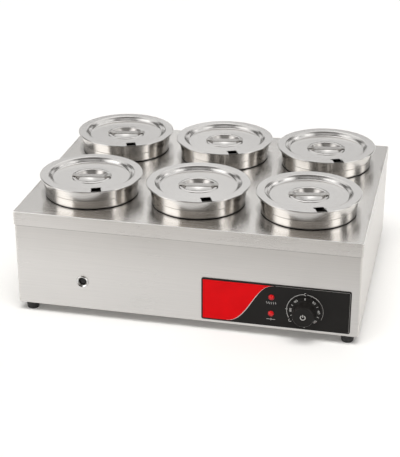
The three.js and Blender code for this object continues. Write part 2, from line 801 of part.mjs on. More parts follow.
function terminalBlock() {
  const top = blockBottom + blockHeight;
  const [halfX, halfY] = [blockLength / 2, blockDepth / 2];
  let body = block([dialX - halfX, blockY - halfY, blockBottom], [dialX + halfX, blockY + halfY, top]);
  for (let way = 0; way < blockWays; way += 1) {
    const well = rod(blockScrewRadius, top - blockScrewDepth, top + overrun, screwSides);
    body = body.subtract(well.translate([wayX(way - (blockWays - 1) / 2), blockY, 0]));
  }
  return body;
}

// Routes of the leads, each from terminal to terminal along the base.
const blockFrontY = blockY - blockDepth / 2 - seatGap;
const blockBackY = blockY + blockDepth / 2 + seatGap;
const tabX = (side) => dialX + (side * tabSpacing) / 2;
const tabEndZ = dialZ - thermostatHeight / 2 - tabLength - seatGap;
const cutoutTabX = (side) => cutoutX + (side * cutoutTabSpacing) / 2;
const cutoutTabEndZ = cutoutTop - cutoutHeight - tabLength - seatGap;
const tailEndY = -tankHalfY - sheet - elementTail - seatGap;
const glandEndY = casingHalfY - cableThreadLength - seatGap;
const supplyDropY = (glandEndY + blockBackY) / 2;
const rightLegX = elementLegX + elementLegSpacing;

const leads = [
  ["thermostat_lead", brownSleeve, leadRadius, [
    [wayX(1), blockFrontY, leadZ], [wayX(1), blockFrontY - leadEndRun, leadZ],
    [tabX(1), thermostatY, leadZ], [tabX(1), thermostatY, tabEndZ],
  ]],
  ["element_lead", brownSleeve, leadRadius, [
    [tabX(-1), thermostatY, tabEndZ], [tabX(-1), thermostatY, leadZ], [rightLegX, thermostatY, leadZ],
    [rightLegX, thermostatY, elementZ], [rightLegX, tailEndY, elementZ],
  ]],
  ["cutout_lead", blackSleeve, leadRadius, [
    [wayX(-1), blockFrontY, leadZ], [wayX(-1), blockFrontY - leadEndRun, leadZ],
    [cutoutTabX(1), cutoutY, leadZ], [cutoutTabX(1), cutoutY, cutoutTabEndZ],
  ]],
  ["return_lead", blackSleeve, leadRadius, [
    [cutoutTabX(-1), cutoutY, cutoutTabEndZ], [cutoutTabX(-1), cutoutY, leadZ],
    [elementLegX, thermostatY, leadZ], [elementLegX, thermostatY, elementZ],
    [elementLegX, tailEndY, elementZ],
  ]],
  ["supply_lead", blackSleeve, supplyRadius, [
    [cableGlandX, glandEndY, cableGlandZ], [cableGlandX, supplyDropY, cableGlandZ],
    [dialX, supplyDropY, leadZ], [dialX, blockBackY, leadZ],
  ]],
];

// Assembly
const bainMarie = new THREE.Group();
bainMarie.position.y = centreShift;

bainMarie.add(
  piece("deck_panel", deckPanel(), brushedSteel),
  piece("casing_wrap", casingWrap(), brushedSteel),
  piece("rear_panel", rearPanel(), brushedSteel),
  piece("base_plate", basePlate(), darkSteel),
  piece("water_tank", waterTank(), brushedSteel),
  piece("heating_element", heatingElement(), darkSteel),
  piece("thermostat_capillary", capillary(), brassy),
  piece("bulb_clip", bulbClip(), zincSteel),
  piece("safety_cutout", safetyCutout(), zincSteel, [cutoutX, cutoutY, 0]),
  piece("terminal_block", terminalBlock(), paleCeramic),
);
for (const [name, finish, radius, stops] of leads) {
  bainMarie.add(piece(name, bentTube(stops, radius, leadBend), finish));
}

const frontFace = new THREE.Group();
frontFace.position.y = -casingHalfY;
frontFace.rotation.x = Math.PI / 2; // its own Z then points out of the front
const tankFront = tankHalfY + sheet + seatGap - casingHalfY;
const glandNut = hexNut(glandNutRadius, elementRadius + seatGap, tankFront, tankFront + glandNutThickness);
const lockNut = hexNut(
  drainBore + spigotWall + drainNutRim, drainBore + spigotWall + seatGap,
  -sheet - seatGap - drainNutThickness, -sheet - seatGap,
);
const pipe = ring(
  pipeRadius, drainBore, tankHalfY - pipeStub - casingHalfY, pipeSocketDepth - seatGap - spigotLength,
);
const shaft = rod(shaftRadius, -sheet, knobBack + shaftGrip);
frontFace.add(
  piece("control_fascia", controlFascia(), fasciaBlack),
  piece("heat_indicator", indicatorLight(), lensRed, [lightX, lightTopZ, 0]),
  piece("power_indicator", indicatorLight(), lensRed, [lightX, lightLowZ, 0]),
  piece("thermostat_body", thermostatBody(), greyNylon, [dialX, dialZ, 0]),
  piece("thermostat_shaft", shaft, zincSteel, [dialX, dialZ, 0]),
  piece("control_knob", controlKnob(), blackPlastic, [dialX, dialZ, 0]),
  piece("drain_socket", drainSocket(), chromed, [drainX, drainZ, 0]),
  piece("drain_lock_nut", lockNut, brassy, [drainX, drainZ, 0]),
  piece("drain_pipe", pipe, brushedSteel, [drainX, drainZ, 0]),
  piece("drain_plug", drainPlug(), blackRubber, [drainX, drainZ, 0]),
  piece("element_gland_nut_left", glandNut, brassy, [elementLegX, elementZ, 0]),
  piece("element_gland_nut_right", glandNut, brassy, [rightLegX, elementZ, 0]),
);
bainMarie.add(frontFace);

const backFace = new THREE.Group();
backFace.position.y = casingHalfY;
backFace.rotation.x = -Math.PI / 2; // its own Z then points out of the back, and its Y down
const cableNut = hexNut(
  cableNutRadius, cableThreadRadius + seatGap, -sheet - seatGap - cableNutThickness, -sheet - seatGap,
);
backFace.add(
  piece("cable_gland", cableGland(), blackPlastic, [cableGlandX, -cableGlandZ, 0]),
  piece("cable_gland_nut", cableNut, blackPlastic, [cableGlandX, -cableGlandZ, 0]),
  piece("earth_stud", earthStud(), brassy, [earthStudX, -earthStudZ, 0]),
);
const backScrew = screw(backScrewRadius, backScrewLength, backScrewHeadRadius, backScrewHeadHeight);
const backCorners = ["lower_left", "lower_right", "upper_left", "upper_right"];
backScrewPlaces().forEach(([x, z], i) => {
  const name = `rear_screw_${backCorners[i]}`;
  backFace.add(piece(name, backScrew, zincSteel, [x, -z, seatGap], [Math.PI, 0, 0]));
});
bainMarie.add(backFace);

const footScrew = screw(footScrewRadius, footScrewLength, footScrewHeadRadius, footScrewHeadHeight);
const corners = ["front_left", "front_right", "rear_left", "rear_right"];
footPlaces().forEach(([x, y], i) => {
  bainMarie.add(
    piece(`foot_${corners[i]}`, footBlock(), blackRubber, [x, y, 0]),
    piece(`foot_screw_${corners[i]}`, footScrew, zincSteel, [x, y, footRecessDepth - seatGap]),
  );
});

const lidHeight = potHeight + seatGap + lidSheet;
for (const { name, x, y } of stations) {
  const station = new THREE.Group();
  station.position.set(x, y, deckHeight);
  station.add(
    piece(`pot_${name}`, potShell(), polishedSteel),
    piece(`lid_${name}`, lidShell(), polishedSteel, [0, 0, lidHeight]),
    piece(`lid_handle_${name}`, lidStrap(), polishedSteel, [0, 0, lidHeight]),
  );
  bainMarie.add(station);
}

export default bainMarie;
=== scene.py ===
# Looks of a six-pot bain marie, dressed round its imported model.
# Metres. X runs along the front, Y towards the back, Z up; dictionaries hold millimetres.
import json
import math

import bmesh
import bpy
from mathutils import Matrix, Vector


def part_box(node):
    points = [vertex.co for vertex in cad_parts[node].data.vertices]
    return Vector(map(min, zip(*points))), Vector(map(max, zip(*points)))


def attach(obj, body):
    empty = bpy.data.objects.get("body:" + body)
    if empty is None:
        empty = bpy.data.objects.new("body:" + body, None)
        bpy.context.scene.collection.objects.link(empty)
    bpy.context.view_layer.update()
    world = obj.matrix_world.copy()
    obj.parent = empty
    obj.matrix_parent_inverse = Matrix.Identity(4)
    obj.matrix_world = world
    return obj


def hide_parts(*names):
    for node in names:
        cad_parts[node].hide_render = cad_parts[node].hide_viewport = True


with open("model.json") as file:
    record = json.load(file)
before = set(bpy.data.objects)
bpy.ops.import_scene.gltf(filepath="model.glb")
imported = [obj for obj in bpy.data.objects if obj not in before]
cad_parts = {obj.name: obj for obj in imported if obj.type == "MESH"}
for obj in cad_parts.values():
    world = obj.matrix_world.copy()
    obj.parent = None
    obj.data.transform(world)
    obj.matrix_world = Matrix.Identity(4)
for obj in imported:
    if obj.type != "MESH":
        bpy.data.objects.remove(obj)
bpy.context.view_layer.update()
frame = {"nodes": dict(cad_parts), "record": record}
mm = 0.001
scene = bpy.context.scene
print("frame loaded:", len(frame["nodes"]), "nodes")


# Camera at the photograph's angle
camera = {
    "azimuth": 12.62,  # degrees to the right of the front
    "elevation": 24.55,
    "distance": 2674.2,
    "aim": (-25.6, 2.0, 95.7),
    "lens": 100.05,
    "sensor": 36.0,
    "clipStart": 50.0,
}


def direction(azimuth, elevation):
    a, e = math.radians(azimuth), math.radians(elevation)
    return Vector((math.sin(a) * math.cos(e), -math.cos(a) * math.cos(e), math.sin(e)))


def around(azimuth, elevation, distance, centre):
    return Vector(centre) * mm + direction(azimuth, elevation) * distance * mm


def added(name, data):
    thing = bpy.data.objects.new(name, data)
    scene.collection.objects.link(thing)
    return thing


def aimed(thing, at, target):
    thing.location = at
    thing.rotation_euler = (Vector(target) * mm - at).to_track_quat("-Z", "Y").to_euler()
    return thing


cameraData = bpy.data.cameras.new("camera")
cameraData.lens = camera["lens"]
cameraData.sensor_width = camera["sensor"]
cameraData.clip_start = camera["clipStart"] * mm
cameraAt = around(camera["azimuth"], camera["elevation"], camera["distance"], camera["aim"])
scene.camera = aimed(added("camera", cameraData), cameraAt, camera["aim"])


# Studio: a pale floor, white surroundings, soft suns, and bright and dark cards that only shiny things see
studio = {
    "fill": 0.34,  # light from all round on matt surfaces
    "floorSize": 40000.0,
    "floorColour": (0.895, 0.880, 0.855, 1.0),
    "floorLift": 0.08,  # takes the floor to white for the camera
    "suns": [  # name, azimuth from the camera, elevation, strength, softness in degrees
        ("sunLeft", -30, 70, 1.20, 30),
        ("sunRight", 24, 66, 1.33, 36),
    ],
    "sunDistance": 3000.0,
    "cardDistance": 5000.0,
    "cards": [  # name, azimuths from the camera, elevations, light, and light at the right if it changes
        ("greyFront", -46, 50, 4, 27, 0.92, 0.34),
        ("darkFront", -48, 48, 28, 56, 0.05),
        ("darkLeft", -158, -94, 20, 36, 0.05),
        ("darkRight", 78, 98, 8, 36, 0.03),
        ("darkRightBack", 117, 160, 20, 36, 0.07),
        ("darkLeftEdge", -178, -160, 1, 18, 0.03),
        ("darkRightEdge", 160, 178, 1, 18, 0.03),
        ("brightLeft", -90, -46, 8, 45, 2.6),
        ("brightRight", 54, 76, 8, 45, 2.6),
        ("brightLeftHigh", -84, -46, 46, 60, 1.45),
        ("brightRightHigh", 50, 76, 46, 60, 1.45),
        ("brightRightBack", 100, 113, 8, 36, 2.0),
        ("brightTop", -14, 14, 114, 139, 2.0),
        ("brightBack", -10, 10, 167, 177, 1.4),
    ],
    "roof": (-8, 23, -28, 28, 0.07),  # degrees from straight up: back, front, left, right; light
    "floorCards": [  # x from and to, y from and to of cards on the floor in front; light at the left and right
        ("apronCard", -1500, 1500, -3200, -725, 0.50, 0.50),
        ("cornerCard", -900, -400, -900, -725, 1.25, 0.80),
        ("middleCard", -700, 560, -725, -570, 0.74, 0.60),
        ("frontCard", -700, 560, -570, -420, 1.52, 0.99),
        ("nearCard", -700, 560, -420, -275, 1.24, 0.83),
    ],
    "floorCardHeight": 0.5,
    "cardTone": (1.0, 0.93, 0.86),  # of the cards that are darker than the next value somewhere
    "toneBelow": 0.55,
    "cardColumns": 8,
    "cardRows": 6,
}
white = (1.0, 1.0, 1.0, 1.0)


# Gives a node's inputs their values, or links them where the value is another node's output.
def wire(tree, node, values):
    for key, value in values.items():
        if isinstance(value, bpy.types.NodeSocket):
            tree.links.new(value, node.inputs[key])
        else:
            node.inputs[key].default_value = value
    return node.outputs


def noise(tree, coords, scale, detail=3.0, roughness=0.55):
    node = tree.nodes.new("ShaderNodeTexNoise")
    return wire(tree, node, {"Vector": coords, "Scale": scale, "Detail": detail, "Roughness": roughness})["Fac"]


def spread(tree, value, low, high, fromLow=0.3, fromHigh=0.7):
    node = tree.nodes.new("ShaderNodeMapRange")
    values = {"Value": value, "From Min": fromLow, "From Max": fromHigh, "To Min": low, "To Max": high}
    return wire(tree, node, values)["Result"]


def stretched(tree, coords, scale):
    return wire(tree, tree.nodes.new("ShaderNodeMapping"), {"Vector": coords, "Scale": scale})["Vector"]


# Goes from one colour to another; the first may also be a node's output.
def tinted(tree, value, dark, light):
    node = tree.nodes.new("ShaderNodeMix")
    node.data_type = "RGBA"
    first = (*dark, 1.0) if isinstance(dark, tuple) else dark
    return wire(tree, node, {"Factor": value, "A": first, "B": (*light, 1.0)})["Result"]


def dented(tree, value, strength, depth):
    node = tree.nodes.new("ShaderNodeBump")
    return wire(tree, node, {"Height": value, "Strength": strength, "Distance": depth})["Normal"]


def scaled(colour, by):
    return tuple(channel * by for channel in colour)


def computed(node, tree, operation, sources):
    node.operation = operation
    return wire(tree, node, dict(enumerate(sources)))


def mathStep(tree, operation, *sources):
    return computed(tree.nodes.new("ShaderNodeMath"), tree, operation, sources)[0]


def vectorStep(tree, operation, *sources):
    outputs = computed(tree.nodes.new("ShaderNodeVectorMath"), tree, operation, sources)
    return outputs["Value" if operation == "LENGTH" else "Vector"]


def parted(tree, coords):
    return wire(tree, tree.nodes.new("ShaderNodeSeparateXYZ"), {0: coords})


def combined(tree, values):
    return wire(tree, tree.nodes.new("ShaderNodeCombineXYZ"), dict(enumerate(values)))[0]


def objectPlaces(tree):
    return tree.nodes.new("ShaderNodeTexCoord").outputs["Object"]


def newFinish(name):
    material = bpy.data.materials.new(name)
    material.use_nodes = True
    tree = material.node_tree
    return material, tree, tree.nodes["Principled BSDF"]


# One where the camera, a shiny surface or glass looks at the thing
def lightPathSum(tree):
    rays = tree.nodes.new("ShaderNodeLightPath").outputs
    seen = mathStep(tree, "MAXIMUM", rays["Is Camera Ray"], rays["Is Glossy Ray"])
    return mathStep(tree, "MAXIMUM", seen, rays["Is Transmission Ray"])


def makeWorld():
    world = bpy.data.worlds.new("surroundings")
    scene.world = world
    world.use_nodes = True
    tree = world.node_tree
    level = spread(tree, lightPathSum(tree), studio["fill"], 1.0, 0.0, 1.0)
    wire(tree, tree.nodes["Background"], {"Color": white, "Strength": level})


def makeFloor():
    half = studio["floorSize"] * mm / 2
    mesh = bpy.data.meshes.new("floor")
    corners = [(-half, -half, 0), (half, -half, 0), (half, half, 0), (-half, half, 0)]
    mesh.from_pydata(corners, [], [(0, 1, 2, 3)])
    floor = added("floor", mesh)
    material, tree, shader = newFinish("floor")
    wire(tree, shader, {
        "Base Color": studio["floorColour"], "Roughness": 1.0, "Specular IOR Level": 0.0, "Emission Color": white,
        "Emission Strength": mathStep(tree, "MULTIPLY", lightPathSum(tree), studio["floorLift"]),
    })
    mesh.materials.append(material)


def makeSuns():
    for name, azimuth, elevation, strength, softness in studio["suns"]:
        data = bpy.data.lights.new(name, "SUN")
        data.energy = strength
        data.angle = math.radians(softness)
        at = around(camera["azimuth"] + azimuth, elevation, studio["sunDistance"], camera["aim"])
        sun = aimed(added(name, data), at, camera["aim"])
        sun.visible_glossy = False


# A card glows at one level, or changes from its left to its right.
def makeCard(name, level, point, fade=None):
    material, tree, shader = newFinish(name)
    tree.nodes.remove(shader)
    dimmest = min(level, fade[2]) if fade else level
    colour = (*studio["cardTone"], 1.0) if dimmest < studio["toneBelow"] else white
    if fade:
        left, right, last = fade
        level = spread(tree, parted(tree, objectPlaces(tree))["X"], level, last, left * mm, right * mm)
    glow = wire(tree, tree.nodes.new("ShaderNodeEmission"), {"Color": colour, "Strength": level})
    wire(tree, tree.nodes["Material Output"], {"Surface": glow[0]})
    columns, rows = studio["cardColumns"], studio["cardRows"]
    points = [point(i / columns, j / rows) for j in range(rows + 1) for i in range(columns + 1)]
    wide = columns + 1
    firsts = [j * wide + i for j in range(rows) for i in range(columns)]
    faces = [(first, first + 1, first + wide + 1, first + wide) for first in firsts]
    mesh = bpy.data.meshes.new(name)
    mesh.from_pydata(points, [], faces)
    mesh.materials.append(material)
    card = added(name, mesh)
    card.visible_camera = card.visible_diffuse = card.visible_shadow = card.visible_transmission = False


# The cards are patches of a wide sphere round the part. One lies flat over it, others on the floor.
def makeCards():
    far = studio["cardDistance"]
    for name, left, right, low, high, level, *last in studio["cards"]:
        def spherePoint(u, v):
            azimuth = camera["azimuth"] + left + (right - left) * u
            return around(azimuth, low + (high - low) * v, far, camera["aim"])

        fade = (spherePoint(0, 0).x / mm, spherePoint(1, 0).x / mm, *last) if last else None
        makeCard(name, level, spherePoint, fade)
    back, front, left, right, level = studio["roof"]
    ahead, aside = (direction(camera["azimuth"] + turn, 0) for turn in (0, 90))

    def roofPoint(u, v):
        forward = math.tan(math.radians(back + (front - back) * v))
        sideways = math.tan(math.radians(left + (right - left) * u))
        return Vector(camera["aim"]) * mm + (Vector((0, 0, 1)) + ahead * forward + aside * sideways) * far * mm

    makeCard("roof", level, roofPoint)
    for name, left, right, front, back, level, last in studio["floorCards"]:
        def floorPoint(u, v):
            return Vector((left + (right - left) * u, front + (back - front) * v, studio["floorCardHeight"])) * mm

        makeCard(name, level, floorPoint, (left, right, last))


scene.view_settings.view_transform = "Standard"
makeWorld()
makeFloor()
makeSuns()
makeCards()
print("studio ready")


# Mesh tools
sharpAngle = 34  # degrees from which an edge shows as sharp
edgeShare = 0.49  # of an edge that one rounding may take up


def circle(radius, z, sides, centre=(0, 0)):
    turns = [2 * math.pi * i / sides for i in range(sides)]
    x, y = centre
    return [Vector((x + radius * math.cos(t), y + radius * math.sin(t), z)) for t in turns]


def polar(radius, angle, centre=(0, 0)):
    turn = math.radians(angle)
    return (centre[0] + radius * math.cos(turn), centre[1] + radius * math.sin(turn))


def arcPath(radius, start, end, steps, centre=(0, 0)):
    return [polar(radius, start + (end - start) * i / steps, centre) for i in range(steps + 1)]


# Rise and inset of a rounded edge in equal turns, each from 0 to 1
def roundEdge(steps):
    turns = [math.radians(90 * step / steps) for step in range(steps + 1)]
    return [(math.sin(turn), 1 - math.cos(turn)) for turn in turns]


def roundedRect(halfX, halfY, radius, z, steps=8, centre=(0, 0)):
    loop = []
    for i, (signX, signY) in enumerate([(1, 1), (-1, 1), (-1, -1), (1, -1)]):
        for step in range(steps + 1):
            turn = math.radians(90 * (i + step / steps))
            x = signX * (halfX - radius) + radius * math.cos(turn)
            y = signY * (halfY - radius) + radius * math.sin(turn)
            loop.append(Vector((centre[0] + x, centre[1] + y, z)))
    return loop


# Corners given as (a, b, radius) become arcs; plain (a, b) corners stay sharp.
def eased(corners, steps=5, closed=False):
    points = []
    count = len(corners)
    for i, corner in enumerate(corners):
        here = Vector(corner[:2])
        atEnd = not closed and i in (0, count - 1)
        if len(corner) < 3 or atEnd:
            points.append(here)
            continue
        before = Vector(corners[i - 1][:2]) - here
        after = Vector(corners[(i + 1) % count][:2]) - here
        u, v = before.normalized(), after.normalized()
        half = u.angle(v) / 2
        reach = min(corner[2] / math.tan(half), edgeShare * before.length, edgeShare * after.length)
        radius = reach * math.tan(half)
        middle = here + (u + v).normalized() * radius / math.sin(half)
        start, end = here + u * reach - middle, here + v * reach - middle
        swing = start.angle_signed(end)
        for step in range(steps + 1):
            points.append(middle + Matrix.Rotation(-swing * step / steps, 2) @ start)
    return [(p.x, p.y) for p in points]


def addLoop(bm, points):
    return [bm.verts.new(p) for p in points]


def bridge(bm, lower, upper):
    for i in range(len(lower)):
        j = (i + 1) % len(lower)
        bm.faces.new((lower[i], lower[j], upper[j], upper[i]))


def skin(bm, rings):
    loops = [addLoop(bm, ring) for ring in rings]
    for lower, upper in zip(loops, loops[1:]):
        bridge(bm, lower, upper)
    return loops


# A closed solid between two equal rings
def block(rings):
    bm = bmesh.new()
    for loop in skin(bm, rings):
        bm.faces.new(loop)
    return bm


# Fills the area between one outline and the holes in it.
def fill(bm, loops):
    edges = []
    for loop in loops:
        for i, start in enumerate(loop):
            pair = (start, loop[(i + 1) % len(loop)])
            edges.append(bm.edges.get(pair) or bm.edges.new(pair))
    bmesh.ops.triangle_fill(bm, use_beauty=True, edges=edges)


# A skin over rings, with both ends filled in
def capped(bm, rings):
    loops = skin(bm, rings)
    fill(bm, [loops[0]])
    fill(bm, [loops[-1]])


# Turns a profile of (radius, z) pairs about Z; its ends lie on the axis, or it is closed.
def lathe(bm, profile, sides, closed=False):
    rings = []
    for radius, z in profile:
        if radius == 0:
            rings.append([bm.verts.new((0, 0, z))])
        else:
            rings.append(addLoop(bm, circle(radius, z, sides)))
    pairs = list(zip(rings, rings[1:])) + ([(rings[-1], rings[0])] if closed else [])
    for lower, upper in pairs:
        if min(len(lower), len(upper)) > 1:
            bridge(bm, lower, upper)
            continue
        for i in range(sides):
            j = (i + 1) % sides
            bm.faces.new((lower[0], upper[j], upper[i]) if len(lower) == 1 else (lower[i], lower[j], upper[0]))


def turned(corners, sides, closed=False, steps=5):
    bm = bmesh.new()
    lathe(bm, [(r * mm, z * mm) for r, z in eased(corners, steps, closed)], sides, closed)
    return bm


# The direction of a path at one of its points
def heading(path, i):
    return (Vector(path[min(i + 1, len(path) - 1)]) - Vector(path[max(i - 1, 0)])).normalized()


# Carries a section of (side, up) pairs along a path, as wide at each point as the widths say.
def sweep(bm, path, section, widths):
    rings = []
    for i, point in enumerate(path):
        along = heading(path, i)
        side = along.cross(Vector((0, 0, 1))).normalized()
        up = side.cross(along)
        rings.append([point + side * s * widths[i] + up * u for s, u in section])
    capped(bm, rings)


def meshFrom(bm, name):
    mesh = bpy.data.meshes.new(name)
    bm.to_mesh(mesh)
    bm.free()
    return mesh


def join(bm, other, move=Matrix.Identity(4)):
    bmesh.ops.transform(other, matrix=move, verts=other.verts)
    mesh = meshFrom(other, "joined")
    bm.from_mesh(mesh)
    bpy.data.meshes.remove(mesh)


# A shaded mesh; the first finish named is the one of every face.
def meshOf(bm, name, *kinds):
    bmesh.ops.recalc_face_normals(bm, faces=bm.faces)
    for face in bm.faces:
        face.smooth = True
    for edge in bm.edges:
        if len(edge.link_faces) == 2:
            edge.smooth = edge.calc_face_angle(0) < math.radians(sharpAngle)
    mesh = meshFrom(bm, name)
    for kind in kinds:
        mesh.materials.append(finishes[kind])
    return mesh


def place(name, mesh, body, matrix=Matrix.Identity(4), replaced=()):
    piece = added(name, mesh)
    piece.matrix_world = matrix
    piece.modifiers.new("normals", "WEIGHTED_NORMAL").keep_sharp = True
    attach(piece, body)
    if replaced:
        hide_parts(*replaced)


def makePiece(name, bm, kind, matrix=Matrix.Identity(4), replaced=(), body="casing"):
    place(name, meshOf(bm, name, kind), body, matrix, replaced)


# A copy of the body mesh with the cutter's solid taken out of it.
def cutOut(bm, cutter):
    things = []
    for part, name in ((bm, "body"), (cutter, "cutter")):
        bmesh.ops.recalc_face_normals(part, faces=part.faces)
        things.append(added(name, meshFrom(part, name)))
    cut = things[0].modifiers.new("cut", "BOOLEAN")
    cut.operation, cut.solver, cut.object = "DIFFERENCE", "EXACT", things[1]
    graph = bpy.context.evaluated_depsgraph_get()
    result = bmesh.new()
    result.from_mesh(things[0].evaluated_get(graph).data)
    for thing in things:
        mesh = thing.data
        bpy.data.objects.remove(thing)
        bpy.data.meshes.remove(mesh)
    return result


# Matrix for a piece on the front, whose own Z points out of the face
def onFront(x, z):
    return Matrix.Translation((x * mm, frontFace, z * mm)) @ Matrix.Rotation(math.radians(90), 4, "X")


def spin(angle):
    return Matrix.Rotation(math.radians(angle), 4, "Z")


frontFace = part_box("casing_wrap")[0].y
deckLow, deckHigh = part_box("deck_panel")
middleY = (deckLow.y + deckHigh.y) / 2


# Finishes
apronShadow = {"clear": 185.8, "fullShade": 187.2}  # heights between which painted shadow under the apron darkens the casing
potShade = {
    "spacing": 218.5, "row": 127.45,
    "reach": (94.0, 107.0),  # from a pot's centre: where the ring of painted shade ends in full and where it is gone
    "patches": 60.0, "uneven": 6.0,
}


# How deep a point of the casing lies in the painted shadow under the deck's apron, from 0 to 1
def apronShadowMask(tree, coords):
    return spread(tree, parted(tree, coords)["Z"], 0.0, 1.0, apronShadow["clear"] * mm, apronShadow["fullShade"] * mm)


# How deep a point of the deck lies in the painted shade round the closest of the six pots, from 0 to 1, with an
# uneven rim
def potShadeMask(tree, coords):
    here = parted(tree, coords)
    half = potShade["spacing"] * mm / 2
    across = mathStep(tree, "WRAP", here["X"], half, -half)
    depth = mathStep(tree, "ABSOLUTE", mathStep(tree, "SUBTRACT", here["Y"], middleY))
    depth = mathStep(tree, "SUBTRACT", depth, potShade["row"] * mm)
    both = mathStep(tree, "ADD", mathStep(tree, "POWER", across, 2.0), mathStep(tree, "POWER", depth, 2.0))
    patches = noise(tree, coords, potShade["patches"])
    away = mathStep(tree, "MULTIPLY_ADD", patches, potShade["uneven"] * mm, mathStep(tree, "SQRT", both))
    near, far = potShade["reach"]
    return spread(tree, away, 1.0, 0.0, near * mm, far * mm)


brushed = {
    "stretch": 0.012,  # of the noise along a brush line
    "tangent": {"x": (0.0, 1.0, 0.15), "xy": (0.0, 0.0, 1.0), "z": (0.0, 1.0, 0.0)},
    "drift": 0.8, "range": (0.6, 1.2), "contrast": (0.95, 1.04), "roughSpread": (-0.03, 0.04), "dent": 0.3,
}


# Steel with brush lines along x, level round upright sheets (xy), or turned round the piece's own Z (spun).
# Its highlights stretch across the lines, and a mask says where painted shade darkens it.
def steel(name, colour, rough, grain="x", lines=700.0, aniso=0.6, drift=7.0, depth=0.00002, shadeMask=None, fullShade=None):
    material, tree, shader = newFinish(name)
    places = tree.nodes.new("ShaderNodeTexCoord").outputs
    coords = places["Object"]
    if grain == "spun":
        radius = vectorStep(tree, "LENGTH", vectorStep(tree, "MULTIPLY", coords, (1, 1, 0)))
        fine = noise(tree, combined(tree, (radius, parted(tree, coords)["Z"])), lines, 2.0)
        circling = vectorStep(tree, "CROSS_PRODUCT", (0, 0, 1), coords)
        across = vectorStep(tree, "CROSS_PRODUCT", places["Normal"], circling)
        toWorld = tree.nodes.new("ShaderNodeVectorTransform")
        toWorld.vector_type, toWorld.convert_from, toWorld.convert_to = "VECTOR", "OBJECT", "WORLD"
        tangent = vectorStep(tree, "NORMALIZE", wire(tree, toWorld, {0: across})[0])
    else:
        along = tuple(brushed["stretch"] if axis in grain else 1 for axis in "xyz")
        fine = noise(tree, stretched(tree, coords, along), lines, 2.0)
        tangent = combined(tree, brushed["tangent"][grain])
    mixed = mathStep(tree, "MULTIPLY_ADD", noise(tree, coords, drift), brushed["drift"], fine)
    low, high = (scaled(colour, by) for by in brushed["contrast"])
    tone = tinted(tree, spread(tree, mixed, 0.0, 1.0, *brushed["range"]), low, high)
    # Painted shade: where the mask says, the colour goes towards a darker one
    if shadeMask:
        tone = tinted(tree, shadeMask(tree, coords), tone, fullShade)
    low, high = (rough + by for by in brushed["roughSpread"])
    wire(tree, shader, {
        "Metallic": 1.0, "Anisotropic": aniso, "Tangent": tangent, "Base Color": tone,
        "Roughness": spread(tree, mixed, low, high, *brushed["range"]),
        "Normal": dented(tree, fine, brushed["dent"], depth),
    })
    return material


smooth = {"drift": 25.0, "roughSpread": (-0.05, 0.06), "leastRough": 0.02, "dent": 0.35}


# Plastic, rubber, ceramic or paint with a fine surface texture.
def moulded(name, colour, rough, texture=900.0, depth=0.00004, contrast=0.12, gloss=0.5):
    material, tree, shader = newFinish(name)
    coords = objectPlaces(tree)
    fine = noise(tree, coords, texture)
    broad = noise(tree, coords, smooth["drift"], 2.0)
    dark, light = scaled(colour, 1 - contrast), scaled(colour, 1 + contrast)
    low, high = (max(rough + by, smooth["leastRough"]) for by in smooth["roughSpread"])
    wire(tree, shader, {
        "Metallic": 0.0, "Specular IOR Level": gloss,
        "Base Color": tinted(tree, spread(tree, broad, 0.0, 1.0), dark, light),
        "Roughness": spread(tree, fine, low, high),
        "Normal": dented(tree, fine, smooth["dent"], depth),
    })
    return material


